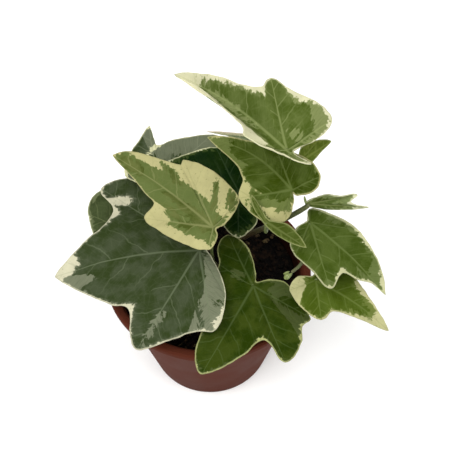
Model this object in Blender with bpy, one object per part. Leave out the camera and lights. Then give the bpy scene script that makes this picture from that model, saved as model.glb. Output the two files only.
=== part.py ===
"""Variegated ivy in a 9 cm nursery pot.

Frame: metres, +Z up. The origin is the centre of the flat boss under the pot, which stands on the
surface. -Y is the front of the plant and +X its right. Sizes below are in millimetres and degrees.
"""

import math

import bmesh
import bpy
from mathutils import Matrix, Vector

MM = 0.001

# Pot: a round 9 cm nursery pot of brown plastic, with a lip round the rim.
RIM_RADIUS = 45.0
POT_HEIGHT = 66.0
SHOULDER_RADIUS = 41.5
FOOT_RADIUS = 29.4
LIP_HEIGHT = 4.2
LIP_WIDTH = 3.8
EDGE_BEVEL = 0.8
WALL = 1.4
FLOOR = 1.6
BOSS_RADIUS = 15.0
GROOVE_RADIUS = 26.0
GROOVE_RISE = 2.6
GROOVE_SLOPE = 1.5
HOLE_COUNT = 8
HOLE_RADIUS = 2.5
HOLE_CUT_DEPTH = 8.0
POT_SEGMENTS = 48

# Compost: fills the pot to a finger's width below the rim, and mounds a little round the stems.
SOIL_TOP = 57.0
SOIL_MOUND = 1.6
MOUND_RADIUS = 40.0
CALM_RADIUS = 15.0
SOIL_RINGS = 5
SOIL_SEGMENTS = 36

# Leaves: thin blades. Each outline is turned round the point where the stalk meets the blade.
BLADE_THICKNESS = 0.6
BLADE_RINGS = 2
STEPS_PER_SPAN = 2
LIFT_POWER = 1.6
GAP = 0.3

# How pointed the outline is at each kind of point, and how far its handles reach along a span.
POINTEDNESS = {"tip": 0.75, "lobe": 0.25, "notch": 0.2, "edge": 0.0, "sinus": 0.5}
HANDLE = 0.36

# Stalks and stems: round, with a slight taper.
STALK_RADIUS = 0.8
STALK_POINTS = 7
STEM_POINTS = 12

# Every leaf: where the stalk joins the blade, the way the blade points (heading from +X, pitch up,
# roll about its midrib), the route of its stalk from stem to blade, and its outline. An outline
# row is a kind, an angle to the left of the midrib, a radius and the height above the blade plane.
LEAVES = {
    "crown": {
        "junction": (29, -2.5, 140),
        "turn": (138, 4, -13),
        "stalk": [(28.5, 18, 114), (29.5, 16, 128), (29.5, 6, 136)],
        "outline": [
            ("lobe", 168, 13.5, 8), ("edge", 122, 7.4, 9), ("lobe", 39, 14.3, 10),
            ("notch", 22, 15.6, 8.3), ("edge", 9.5, 22.5, 6.3), ("edge", 3.5, 33, 4.2),
            ("edge", 0.5, 42, 2.8), ("tip", 0, 55.5, 0), ("edge", -9, 41.5, 4),
            ("notch", -28, 25, 6), ("lobe", -39, 28.5, 5.5), ("edge", -52, 24, 4),
            ("edge", -84, 22, 1), ("lobe", -100, 21.5, -1.5), ("edge", -109, 14.5, -3),
            ("sinus", -150, 2.5, 0),
        ],
    },
    "upper": {
        "junction": (32.5, -1.5, 118),
        "turn": (139, 0, -41),
        "stalk": [(28.5, 13, 103), (32, 6, 111)],
        "outline": [
            ("edge", 120, 4.5, -3), ("lobe", 100, 12, -5.5), ("edge", 74, 17, -1.5),
            ("lobe", 40, 20.5, 3.5), ("notch", 20, 19.5, 3), ("edge", 7, 25, 1.5), ("tip", 0, 43, 0),
            ("edge", -6, 37.5, -2), ("notch", -13, 30, -3), ("lobe", -35, 19, -1.5),
            ("edge", -97, 13, 1), ("lobe", -125, 12, -0.5), ("edge", -154, 9, 0.5),
            ("edge", 170, 3.6, 0.8), ("sinus", 142, 1.6, 0),
        ],
    },
    "cream": {
        "junction": (2.5, -8.5, 104),
        "turn": (143, 9, -18),
        "stalk": [(2.6, 0.2, 67.8), (1.7, -2.5, 78), (1.9, -6.5, 92)],
        "outline": [
            ("edge", 151, 4.5, -0.5), ("lobe", 116, 9, -1), ("edge", 66, 13, -1),
            ("edge", 39, 21.5, -0.5), ("lobe", 28, 27.5, -1), ("notch", 14, 25.5, 0),
            ("edge", 9, 30.8, -0.4), ("edge", 3.5, 40, -0.3), ("tip", 0, 52, 0), ("edge", -8, 47, -1.5),
            ("notch", -26, 30, -0.5), ("lobe", -30, 31.5, 0), ("edge", -51, 24, 0),
            ("edge", -84, 17, -0.5), ("lobe", -96, 15, -1.5), ("edge", -123, 5, -1),
            ("sinus", -165, 1.5, 0),
        ],
    },
    "large": {
        "junction": (-3.5, -5, 84),
        "turn": (-170, -4, -7),
        "stalk": [(0.5, 0, 65), (-1.5, -2.5, 75)],
        "outline": [
            ("edge", 151, 5, -2), ("edge", 119, 14.5, -2), ("lobe", 109, 22.5, -2),
            ("edge", 96, 32.5, -1.5), ("lobe", 89, 36, -0.5), ("notch", 79, 35.5, -0.5),
            ("edge", 63, 41.5, 0), ("lobe", 51, 48.5, -0.5), ("edge", 44, 45, 0),
            ("notch", 34, 38, 2), ("edge", 25, 42.5, 2), ("tip", 0, 60, 0), ("edge", -11, 51, 1.5),
            ("notch", -38, 42, 1), ("lobe", -47, 55, -0.5), ("edge", -61.5, 49, -1),
            ("lobe", -69.5, 40.5, -0.5), ("edge", -75, 20.5, 1), ("sinus", -170, 3, 0),
        ],
    },
    "front": {
        "junction": (19, -16, 74),
        "turn": (-118, -3, -11),
        "stalk": [(5.8, -0.8, 61), (12, -9, 67)],
        "outline": [
            ("edge", 140, 7.5, 1.5), ("edge", 124, 14.5, 1), ("lobe", 91, 27, -1),
            ("notch", 79, 26, -1), ("edge", 67, 30.5, 0.5), ("lobe", 48, 35, 1.5),
            ("notch", 37, 24.5, 2), ("edge", 19, 31.5, 1.5), ("lobe", 0, 44, 0.5),
            ("edge", -9, 39, 0), ("notch", -17, 30, 1), ("edge", -46, 20, 0), ("lobe", -93, 17, 0.5),
            ("edge", -111, 23, 0.5), ("lobe", -127, 25.5, 1.5), ("edge", -143, 17, 2.5),
            ("edge", -160, 6.5, 1.5), ("sinus", 175, 2.5, 0),
        ],
    },
    "right": {
        "junction": (41.5, -1.5, 98),
        "turn": (-44, -17, 18),
        "stalk": [(36.5, -2.5, 92.3), (39.2, -2.6, 94)],
        "outline": [
            ("lobe", 140, 5.5, 2), ("edge", 59, 9, 4.5), ("lobe", 36, 18.5, 3.5),
            ("edge", 21, 26.5, 1.5), ("edge", 12, 33, 0.5), ("tip", 1, 40.8, 0), ("edge", 0.7, 34.8, 0.4),
            ("edge", -6, 29.4, 1.6), ("notch", -14, 24, 2.5), ("lobe", -30, 28, 3.5), ("edge", -45, 19.5, 2.5),
            ("lobe", -69, 15, 0.5), ("edge", -87, 12, -0.5), ("edge", -112, 6, 0),
            ("sinus", -165, 1.5, 0),
        ],
    },
    "lower_right": {
        "junction": (44, -19, 82.5),
        "turn": (-31, -17, 13),
        "stalk": [(41.5, -7, 85.5), (44.5, -12, 80.5)],
        "outline": [
            ("edge", 109, 5, -1), ("lobe", 67, 12.5, -0.5), ("edge", 41, 15.6, 1),
            ("edge", 20, 21, 1.5), ("edge", 7.5, 28.2, 1), ("tip", 0, 35, 0),
            ("edge", -8, 23, 1), ("notch", -30, 14, 1.5),
            ("lobe", -50, 16, 0), ("edge", -82, 13, -0.5), ("lobe", -125, 11.5, -0.5),
            ("edge", -155, 8, -1), ("sinus", 160, 2.5, 0),
        ],
    },
    "young_right": {
        "junction": (39.5, 0, 108),
        "turn": (-3, -2, 79),
        "stalk": [],
        "outline": [
            ("edge", 45, 4.5, -0.5), ("lobe", 34, 9.5, 0), ("notch", 22, 13.5, 0.5),
            ("lobe", 15, 19.5, -1), ("notch", 8, 17, 0.5), ("tip", 0, 24, 0),
            ("edge", -10, 13.5, -0.5), ("edge", -27, 6, -1), ("sinus", 180, 1, 0),
        ],
    },
    "young_centre": {
        "junction": (23, -9.8, 109),
        "turn": (-25, -22, 42),
        "stalk": [(25, 5.5, 85), (24.2, -1.5, 93), (23.2, -8.6, 101.5)],
        "outline": [
            ("edge", 172, 4.4, 0), ("edge", 163, 8.2, 0.3), ("lobe", 153, 11.3, 0),
            ("edge", 147, 8, 0), ("edge", 142, 3.8, 0), ("notch", 80, 1.3, 0.2),
            ("edge", 31, 4.6, 0.4), ("edge", 26, 8.4, 0.5), ("edge", 10, 13.8, -0.2),
            ("tip", 0, 18.4, 0), ("edge", -6, 14.2, 0), ("edge", -16, 8, -0.2),
            ("edge", -34, 3.4, -0.2), ("sinus", -130, 1.2, 0),
        ],
    },
    "small_back": {
        "junction": (36, 7.5, 124),
        "turn": (30, 16, 46),
        "stalk": [],
        "outline": [
            ("edge", 70, 2.5, -1), ("edge", 45, 5.5, -2.5), ("lobe", 15, 11, -1.5),
            ("tip", 0, 14.5, 0), ("edge", -8, 9.6, -1), ("edge", -32, 5.6, -2),
            ("lobe", -46, 4.5, -2.5), ("sinus", 180, 1, 0),
        ],
    },
    "back": {
        "junction": (22.5, 30.5, 112),
        "turn": (177, 12, 55),
        "stalk": [(26.5, 18, 101), (25, 26, 107)],
        "outline": [
            ("edge", 49, 3.6, 1), ("lobe", 26, 8, 0.8), ("edge", 9, 15.5, 0.3), ("tip", 0, 23, 0),
            ("notch", -28, 14.5, 1), ("lobe", -61, 12, 2), ("edge", -77, 6, 0),
            ("sinus", 180, 1.5, 0),
        ],
    },
    "back_left": {
        "junction": (-21, 28.5, 90.5),
        "turn": (102, 3, -3),
        "stalk": [(-14, 35, 84.5), (-17.5, 31.5, 87.5)],
        "outline": [
            ("lobe", 130, 7.5, 0), ("edge", 91, 9, 0), ("edge", 77, 12.5, 0), ("lobe", 66, 16.3, 0),
            ("edge", 45, 18.8, -0.3), ("edge", 26, 22.6, 0), ("edge", 12.5, 26, 0),
            ("tip", 0, 33.5, 0),
            ("edge", -2, 25.5, 0), ("notch", -5, 21, -0.5), ("edge", -25, 24, 0),
            ("lobe", -53, 34.5, 0), ("edge", -64, 35.5, 0), ("lobe", -77, 29.5, -0.5),
            ("edge", -91, 13, -0.5), ("sinus", 180, 2, 0),
        ],
    },
    "dark_centre": {
        "junction": (13, 21, 91),
        "turn": (166, 10, -24),
        "stalk": [(-1, 20.5, 67), (6, 23.5, 79)],
        "outline": [
            ("lobe", 142, 14.5, -1), ("edge", 120, 18, -1.5), ("lobe", 107, 20, -1),
            ("edge", 92, 17.5, -2), ("notch", 58, 13.5, -1), ("lobe", 21, 24, 2),
            ("notch", 11, 28.5, 1.5), ("tip", 0, 36, 0), ("edge", -10, 32.5, -2),
            ("edge", -24, 27.5, -2), ("lobe", -48, 23, -1.5), ("edge", -76, 18.5, -1),
            ("edge", -101, 11, 0), ("sinus", 180, 2, 0),
        ],
    },
    "left_under": {
        "junction": (-25.5, 8, 74),
        "turn": (148, -8, -11),
        "stalk": [(-6, 17.5, 65), (-15, 13, 69)],
        "outline": [
            ("lobe", 105, 14, -1), ("lobe", 59, 17, -2), ("edge", 27, 24.5, 0), ("lobe", 0, 36, 0),
            ("edge", -11, 40.5, 0), ("notch", -21, 40.5, -0.5), ("lobe", -33, 32, -0.5),
            ("edge", -50, 17, -0.5), ("lobe", -105, 14, 0), ("sinus", 180, 2, 0),
        ],
    },
}

# Stems: a route from the compost upwards, with the radius at the foot and at the end.
STEMS = {
    "front_stem": ([(4, 2, 57), (3.5, 1, 61), (2.8, 0.5, 66.5)], 1.4, 1.1),
    "left_stem": ([(0, 14, 57), (-4, 19, 66), (-9, 27, 75), (-12, 34.5, 81.5)], 1.4, 1.0),
    "right_stem": ([(15, 22, 57), (19, 20, 63), (26, 9.5, 82), (33, 1.5, 98), (39, -0.5, 106.5)],
                   1.4, 0.9),
    "back_stem": ([(24.5, 16, 77), (26.5, 17, 90), (28.5, 16, 105), (35, 10, 121)], 1.2, 0.9),
    "side_shoot": ([(33, 0, 93), (37, -3.5, 90), (40, -9, 88.5), (38, -13, 85.5), (34.5, -14.7, 82.3)],
                   0.9, 0.6),
}

# The bud at the nodding end of the low stem, and the stipule at the end of the right stem.
BUD_START = (33.9, -15.1, 81.4)
BUD_END = (31.4, -16, 79)
BUD_RADIUS = 1.5
STIPULE_START = (38.6, 0.8, 108.4)
STIPULE_END = (38.0, 0.8, 111.6)
STIPULE_RADIUS = 0.5

# Colour (linear) and roughness of each kind of material.
FINISHES = {
    "pot_plastic": ((0.14, 0.05, 0.035, 1), 0.5),
    "compost": ((0.02, 0.012, 0.008, 1), 0.95),
    "leaf": ((0.06, 0.12, 0.03, 1), 0.45),
    "stalk": ((0.18, 0.22, 0.07, 1), 0.55),
    "woody_stem": ((0.26, 0.18, 0.09, 1), 0.7),
}


def clear_scene():
    for obj in list(bpy.data.objects):
        bpy.data.objects.remove(obj, do_unlink=True)


def finish(name):
    """The material of this name, made the first time it is asked for."""
    material = bpy.data.materials.get(name)
    if material is None:
        color, roughness = FINISHES[name]
        material = bpy.data.materials.new(name)
        material.use_nodes = True
        shader = material.node_tree.nodes["Principled BSDF"]
        shader.inputs["Base Color"].default_value = color
        shader.inputs["Roughness"].default_value = roughness
        shader.inputs["Metallic"].default_value = 0.0
        material.diffuse_color = color
    return material


def add_object(name, bm, material):
    """One named object at the origin, with the bmesh as its mesh."""
    mesh = bpy.data.meshes.new(name)
    bm.to_mesh(mesh)
    bm.free()
    mesh.shade_smooth()
    mesh.materials.append(finish(material))
    obj = bpy.data.objects.new(name, mesh)
    bpy.context.collection.objects.link(obj)
    return obj


def turned(profile, segments):
    """A closed solid of revolution about Z: the profile (radius, height) runs from axis to axis."""
    bm = bmesh.new()
    points = [bm.verts.new(Vector((radius, 0, height)) * MM) for radius, height in profile]
    for first, second in zip(points, points[1:]):
        bm.edges.new((first, second))
    bmesh.ops.spin(
        bm, geom=bm.verts[:] + bm.edges[:], cent=(0, 0, 0), axis=(0, 0, 1),
        angle=math.tau, steps=segments, use_merge=True,
    )
    bmesh.ops.remove_doubles(bm, verts=bm.verts, dist=0.01 * MM)
    bmesh.ops.recalc_face_normals(bm, faces=bm.faces)
    return bm


def wall_radius(height):
    """Outer radius of the pot's tapering wall at a height."""
    return FOOT_RADIUS + (SHOULDER_RADIUS - FOOT_RADIUS) * height / (POT_HEIGHT - LIP_HEIGHT)


def make_pot():
    lip_foot = POT_HEIGHT - LIP_HEIGHT
    outside = [
        (0, 0), (BOSS_RADIUS, 0), (BOSS_RADIUS + GROOVE_SLOPE, GROOVE_RISE), (GROOVE_RADIUS, GROOVE_RISE),
        (GROOVE_RADIUS + GROOVE_SLOPE, 0), (FOOT_RADIUS - EDGE_BEVEL, 0),
        (FOOT_RADIUS, EDGE_BEVEL),
        (SHOULDER_RADIUS, lip_foot), (RIM_RADIUS - 0.6, lip_foot + 0.3),
        (RIM_RADIUS, lip_foot + 1.0), (RIM_RADIUS, POT_HEIGHT - EDGE_BEVEL),
        (RIM_RADIUS - EDGE_BEVEL, POT_HEIGHT),
    ]
    top_inner = RIM_RADIUS - LIP_WIDTH
    inside = [
        (top_inner + EDGE_BEVEL, POT_HEIGHT), (top_inner, POT_HEIGHT - 0.7),
        (SHOULDER_RADIUS - WALL - 0.4, lip_foot - 1.5),
        (wall_radius(GROOVE_RISE + FLOOR) - WALL, GROOVE_RISE + FLOOR),
        (BOSS_RADIUS + GROOVE_SLOPE, GROOVE_RISE + FLOOR), (BOSS_RADIUS, FLOOR), (0, FLOOR),
    ]
    pot = add_object("pot", turned(outside + inside, POT_SEGMENTS), "pot_plastic")
    pot.data.set_sharp_from_angle(angle=math.radians(35))
    cutters = bmesh.new()
    ring = (BOSS_RADIUS + GROOVE_SLOPE + GROOVE_RADIUS) / 2
    for index in range(HOLE_COUNT):
        turn = math.tau * (index + 0.5) / HOLE_COUNT
        place = Vector((ring * math.cos(turn), ring * math.sin(turn), GROOVE_RISE)) * MM
        bmesh.ops.create_cone(
            cutters, cap_ends=True, segments=16, radius1=HOLE_RADIUS * MM,
            radius2=HOLE_RADIUS * MM, depth=HOLE_CUT_DEPTH * MM, matrix=Matrix.Translation(place),
        )
    hole_cutter = add_object("hole_cutter", cutters, "pot_plastic")
    hole_cutter.hide_render = True
    hole_cutter.display_type = "WIRE"
    cut = pot.modifiers.new("drainage_holes", "BOOLEAN")
    cut.operation = "DIFFERENCE"
    cut.object = hole_cutter
    cut.solver = "EXACT"


def soil_height(radius, turn):
    """The compost's surface: a low mound, with gentle uneven waves."""
    mound = SOIL_MOUND * math.cos(min(radius / MOUND_RADIUS, 1) * math.pi / 2)
    waves = 0.5 * math.sin(3 * turn + 0.12 * radius) + 0.4 * math.cos(5 * turn - 0.2 * radius)
    return SOIL_TOP + mound + waves * min(radius / CALM_RADIUS, 1)


def make_soil():
    floor = GROOVE_RISE + FLOOR + GAP
    foot = wall_radius(floor) - WALL - GAP - 0.2
    top = wall_radius(SOIL_TOP) - WALL - GAP - 0.4
    profile = [(0, floor), (foot, floor), (top, SOIL_TOP)]
    profile += [(top * (1 - step / SOIL_RINGS), SOIL_TOP) for step in range(1, SOIL_RINGS + 1)]
    bm = turned(profile, SOIL_SEGMENTS)
    for vert in bm.verts:
        if vert.co.z > (SOIL_TOP - 1) * MM:
            radius = math.hypot(vert.co.x, vert.co.y) / MM
            vert.co.z = soil_height(radius, math.atan2(vert.co.y, vert.co.x)) * MM
    return bm


def blade_matrix(leaf):
    """Blade plane to world: X along the midrib, Y to its left, Z out of the upper face."""
    heading, pitch, roll = (math.radians(angle) for angle in leaf["turn"])
    turn = Matrix.Rotation(heading, 4, "Z") @ Matrix.Rotation(-pitch, 4, "Y")
    turn = turn @ Matrix.Rotation(roll, 4, "X")
    return Matrix.Translation(leaf["junction"]) @ turn


def outline_points(rows, steps):
    """A closed smooth outline through the rows, as (x, y, lift), steps points for each span."""
    corners = []
    for kind, angle, radius, lift in rows:
        turn = math.radians(angle)
        corners.append(Vector((radius * math.cos(turn), radius * math.sin(turn), lift)))
    points = []
    count = len(rows)
    for index in range(count):
        before, start, end, after = (corners[(index + k) % count] for k in (-1, 0, 1, 2))
        chord = end - start
        leave = (end - before).normalized()
        arrive = (after - start).normalized()
        straight = chord.normalized()
        reach = HANDLE * chord.length
        pointed_start = POINTEDNESS[rows[index][0]]
        pointed_end = POINTEDNESS[rows[(index + 1) % count][0]]
        handle_out = start + reach * leave.lerp(straight, pointed_start)
        handle_in = end - reach * arrive.lerp(straight, pointed_end)
        for step in range(steps):
            t = step / steps
            u = 1 - t
            points.append(
                u**3 * start + 3 * u * u * t * handle_out + 3 * u * t * t * handle_in + t**3 * end
            )
    return points


def make_blade(name, leaf):
    """A disc of spokes and rings, reshaped to the leaf and given its thickness."""
    rim = outline_points(leaf["outline"], STEPS_PER_SPAN)
    place = blade_matrix(leaf)
    bm = bmesh.new()
    bmesh.ops.create_circle(bm, cap_ends=True, cap_tris=True, segments=len(rim), radius=1.0)
    spokes = [edge for edge in bm.edges if not edge.is_boundary]
    bmesh.ops.subdivide_edges(bm, edges=spokes, cuts=BLADE_RINGS - 1, use_grid_fill=True)
    for vert in bm.verts:
        reach = min(vert.co.xy.length, 1.0)
        spoke = round(math.atan2(vert.co.y, vert.co.x) / math.tau * len(rim)) % len(rim)
        edge = rim[spoke]
        lift = edge.z * reach**LIFT_POWER
        vert.co = place @ Vector((edge.x * reach, edge.y * reach, lift)) * MM
    bmesh.ops.triangulate(bm, faces=bm.faces)
    bmesh.ops.recalc_face_normals(bm, faces=bm.faces)
    blade = add_object(name, bm, "leaf")
    wall = blade.modifiers.new("thickness", "SOLIDIFY")
    wall.thickness = BLADE_THICKNESS * MM
    wall.offset = 0.0
    wall.use_even_offset = False
    return blade


def smooth_route(points, count):
    """Evenly timed points on a smooth curve through the route's own points."""
    points = [Vector(point) for point in points]
    ends = [2 * points[0] - points[1]] + points + [2 * points[-1] - points[-2]]
    spans = len(points) - 1
    route = []
    for step in range(count):
        place = step * spans / (count - 1)
        span = min(int(place), spans - 1)
        t = place - span
        a, b, c, d = ends[span:span + 4]
        route.append(0.5 * (
            2 * b + (c - a) * t + (2 * a - 5 * b + 4 * c - d) * t**2
            + (3 * b - a - 3 * c + d) * t**3
        ))
    return route


def make_tube(name, points, count, foot_radius, end_radius, material):
    """A round stem: a curve with a bevel, tapering from foot to end, closed at both ends."""
    curve = bpy.data.curves.new(name, "CURVE")
    curve.dimensions = "3D"
    curve.bevel_depth = MM
    curve.bevel_resolution = 1
    curve.use_fill_caps = True
    spline = curve.splines.new("POLY")
    spline.points.add(count - 1)
    for index, place in enumerate(smooth_route(points, count)):
        share = index / (count - 1)
        spline.points[index].co = (*(place * MM), 1.0)
        spline.points[index].radius = foot_radius + (end_radius - foot_radius) * share
    curve.materials.append(finish(material))
    tube = bpy.data.objects.new(name, curve)
    bpy.context.collection.objects.link(tube)
    return tube


def planted(route, radius):
    """The route with a foot in the compost's surface raised to stand just clear of it."""
    x, y, z = route[0]
    if z > SOIL_TOP:
        return route
    surface = soil_height(math.hypot(x, y), math.atan2(y, x))
    return [(x, y, surface + GAP + radius)] + route[1:]


def make_stalk(name, leaf):
    """The leaf's stalk: from beside its stem to just under the blade."""
    place = blade_matrix(leaf)
    under = place.to_3x3() @ Vector((0, 0, -(BLADE_THICKNESS / 2 + GAP + STALK_RADIUS)))
    end = Vector(leaf["junction"]) + under
    make_tube(name, leaf["stalk"] + [end], STALK_POINTS, STALK_RADIUS, STALK_RADIUS, "stalk")


def spindle(start, end, radius):
    """A pointed bud shape between two places."""
    start = Vector(start) * MM
    end = Vector(end) * MM
    bm = bmesh.new()
    bmesh.ops.create_uvsphere(bm, u_segments=10, v_segments=6, radius=1.0)
    along = end - start
    turn = along.to_track_quat("Z", "Y").to_matrix().to_4x4()
    size = Matrix.Diagonal((radius * MM, radius * MM, along.length / 2, 1))
    matrix = Matrix.Translation((start + end) / 2) @ turn @ size
    bmesh.ops.transform(bm, matrix=matrix, verts=bm.verts)
    return bm


clear_scene()
make_pot()
add_object("soil", make_soil(), "compost")
for stem_name, (route, foot, tip) in STEMS.items():
    make_tube(stem_name, planted(route, foot), STEM_POINTS, foot, tip, "woody_stem")
for leaf_name, leaf_rows in LEAVES.items():
    make_blade(leaf_name + "_blade", leaf_rows)
    if leaf_rows["stalk"]:
        make_stalk(leaf_name + "_stalk", leaf_rows)
add_object("bud", spindle(BUD_START, BUD_END, BUD_RADIUS), "stalk")
add_object("stipule", spindle(STIPULE_START, STIPULE_END, STIPULE_RADIUS), "stalk")
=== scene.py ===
# %% [markdown]
# # A variegated ivy in a 9 cm nursery pot
# The plant is a young English ivy: three short stems in a brown plastic pot of dark compost, and
# fourteen thin, waxy leaves. Each leaf is dark green in the middle, grey-green in blocks between
# its veins, and cream round its margin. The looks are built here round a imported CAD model, in the
# same frame: metres, +Z up, the origin under the middle of the pot, -Y the front.

import math
import random

import bmesh
import bpy
from mathutils import Matrix, Vector, noise


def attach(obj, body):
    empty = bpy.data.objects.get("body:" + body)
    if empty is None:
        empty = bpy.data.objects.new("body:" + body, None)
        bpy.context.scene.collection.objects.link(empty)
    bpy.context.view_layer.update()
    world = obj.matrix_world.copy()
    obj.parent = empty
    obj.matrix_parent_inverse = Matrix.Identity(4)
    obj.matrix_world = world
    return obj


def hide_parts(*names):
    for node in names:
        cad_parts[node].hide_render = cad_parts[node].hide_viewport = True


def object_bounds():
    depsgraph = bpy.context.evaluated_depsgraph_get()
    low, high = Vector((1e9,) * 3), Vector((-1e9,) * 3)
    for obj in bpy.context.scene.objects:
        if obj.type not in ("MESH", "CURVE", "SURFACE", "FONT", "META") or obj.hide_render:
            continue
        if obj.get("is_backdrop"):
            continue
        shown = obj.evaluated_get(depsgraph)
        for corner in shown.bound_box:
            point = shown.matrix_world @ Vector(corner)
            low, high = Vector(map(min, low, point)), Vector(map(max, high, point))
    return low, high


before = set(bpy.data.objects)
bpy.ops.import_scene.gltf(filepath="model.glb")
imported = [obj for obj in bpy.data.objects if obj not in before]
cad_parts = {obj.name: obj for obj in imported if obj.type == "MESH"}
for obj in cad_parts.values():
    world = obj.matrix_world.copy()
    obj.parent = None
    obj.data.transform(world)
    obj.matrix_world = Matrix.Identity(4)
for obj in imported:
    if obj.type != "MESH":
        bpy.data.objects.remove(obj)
CAD_BOX = [list(corner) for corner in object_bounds()]
MM = 0.001
print("frame:", len(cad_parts), "nodes, box", CAD_BOX)

# %% [markdown]
# Every new piece goes through one helper. It makes the object at the origin, with its place in its
# mesh, rides it on the plant's only body, and hides the CAD nodes it stands for. Colours are
# written as sRGB hex, as a colour picker shows them, and turned to linear light once, here.


# %%  Making a piece and reading a colour
def add_piece(name, mesh_source, materials, replaces):
    """A shown piece from a bmesh or a mesh, standing for the named CAD nodes."""
    if isinstance(mesh_source, bmesh.types.BMesh):
        mesh = bpy.data.meshes.new(name)
        mesh_source.to_mesh(mesh)
        mesh_source.free()
    else:
        mesh = mesh_source
        mesh.name = name
    mesh.materials.clear()
    for material in materials:
        mesh.materials.append(material)
    mesh.shade_smooth()
    piece = bpy.data.objects.new(name, mesh)
    bpy.context.collection.objects.link(piece)
    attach(piece, "root")
    if replaces:
        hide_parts(*replaces)
    return piece


def linear(hex_colour):
    """An sRGB hex colour as linear RGBA."""
    channels = [int(hex_colour[place:place + 2], 16) / 255 for place in (1, 3, 5)]
    return [c / 12.92 if c <= 0.04045 else ((c + 0.055) / 1.055) ** 2.4 for c in channels] + [1]


def feed(tree, node, inputs):
    """Links each input that is given as a socket, and sets the others."""
    for socket, value in inputs.items():
        if isinstance(value, bpy.types.NodeSocket):
            tree.links.new(value, node.inputs[socket])
        else:
            node.inputs[socket].default_value = value


def add_node(tree, kind, inputs=None, **settings):
    """Adds a node, sets its properties, then feeds its inputs. Returns the node."""
    made = tree.nodes.new(kind)
    for name, value in settings.items():
        setattr(made, name, value)
    feed(tree, made, inputs or {})
    return made


def calculate(tree, operation, *values, clamp=False):
    """One step of arithmetic on sockets and numbers."""
    inputs = dict(enumerate(values))
    return add_node(tree, "ShaderNodeMath", inputs, operation=operation, use_clamp=clamp).outputs[0]


def ramp(tree, value, low, high):
    """0 below low, 1 above high, smooth between."""
    return add_node(
        tree, "ShaderNodeMapRange",
        {"Value": value, "From Min": low, "From Max": high, "To Min": 0.0, "To Max": 1.0},
        interpolation_type="SMOOTHSTEP",
    ).outputs["Result"]


def blend_colours(tree, share, first, second):
    """A mix of two colours, each a socket or a linear colour."""
    inputs = {0: share, 6: first, 7: second}
    return add_node(tree, "ShaderNodeMix", inputs, data_type="RGBA").outputs[2]


def noise_value(tree, place, size, detail, roughness=0.5):
    """Soft noise from 0 to 1 whose lumps are about as large as size."""
    return add_node(tree, "ShaderNodeTexNoise", {
        "Vector": place, "Scale": 1 / size, "Detail": detail, "Roughness": roughness,
    }).outputs["Fac"]


def add_bump(tree, shader, height, strength, distance):
    """Fine relief on a finish, its distance in millimetres."""
    bump = add_node(tree, "ShaderNodeBump", {
        "Height": height, "Strength": strength, "Distance": distance * MM})
    feed(tree, shader, {"Normal": bump.outputs["Normal"]})


def new_material(name):
    """An empty node material with its Principled shader."""
    material = bpy.data.materials.new(name)
    material.use_nodes = True
    return material, material.node_tree, material.node_tree.nodes["Principled BSDF"]


# %% [markdown]
# ## Camera, floor and light
# The plant is looked down on from the front, a little above half way to straight overhead. The
# floor is a plain pale sweep. A broad soft lamp high on the left gives the leaves their shape, a
# second on the right softens its shadows, and a bright even sky fills the rest, as in a white tent.

# %%  Camera
CAMERA_PLACE = (0.0073, -0.1725, 0.3115)
CAMERA_TILT = 38.5
CAMERA_LENS = 54.56
camera_data = bpy.data.cameras.new("camera")
camera_data.lens = CAMERA_LENS
camera_data.sensor_width = 36
camera_data.clip_start = 0.01
camera = bpy.data.objects.new("camera", camera_data)
camera.location = CAMERA_PLACE
camera.rotation_euler = (math.radians(CAMERA_TILT), 0, 0)
bpy.context.collection.objects.link(camera)
bpy.context.scene.camera = camera
bpy.context.scene.view_settings.view_transform = "Standard"
print("camera at", CAMERA_PLACE, "looking down", 90 - CAMERA_TILT, "degrees")

# %%  Floor and light
FLOOR_SIZE = 6.0
floor_mesh = bmesh.new()
bmesh.ops.create_grid(floor_mesh, x_segments=1, y_segments=1, size=FLOOR_SIZE / 2)
floor_data = bpy.data.meshes.new("floor")
floor_mesh.to_mesh(floor_data)
floor_mesh.free()
floor = bpy.data.objects.new("floor", floor_data)
bpy.context.collection.objects.link(floor)
floor_material, tree, shader = new_material("matt_white_paper")
feed(tree, shader, {
    "Base Color": linear("#fbfbfa"), "Roughness": 0.9, "Specular IOR Level": 0.1})
floor_data.materials.append(floor_material)
floor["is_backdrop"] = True

SKY_STRENGTH = 0.6
world = bpy.data.worlds.new("soft_white_sky")
world.use_nodes = True
feed(world.node_tree, world.node_tree.nodes["Background"], {
    "Color": linear("#ffffff"), "Strength": SKY_STRENGTH})
bpy.context.scene.world = world

# Each lamp: place and the point it faces in metres, its side in metres, its power in watts.
LAMPS = {
    "key_panel": ((-0.45, -0.35, 1.0), (0, 0, 0.08), 0.9, 12.5),
    "fill_panel": ((0.7, -0.2, 0.9), (0.1, 0, 0), 0.9, 7.0),
}
for lamp_name, (place, target, side, power) in LAMPS.items():
    lamp_data = bpy.data.lights.new(lamp_name, "AREA")
    lamp_data.size = side
    lamp_data.energy = power
    lamp = bpy.data.objects.new(lamp_name, lamp_data)
    lamp.location = place
    lamp.rotation_euler = (Vector(target) - Vector(place)).to_track_quat("-Z", "Y").to_euler()
    bpy.context.collection.objects.link(lamp)
print("lamps:", ", ".join(LAMPS))

# %% [markdown]
# ## The pot
# A nursery pot is injection moulded in one shot from brown polypropylene: a thin tapering wall, a
# thicker lip round the rim, and a foot ring with drainage holes. A lathe is the natural tool, so
# its half profile is spun round Z. Real moulds have small radii on every corner, so the sharp rings
# are bevelled afterwards, and the holes are cut last with a Boolean.

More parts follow.
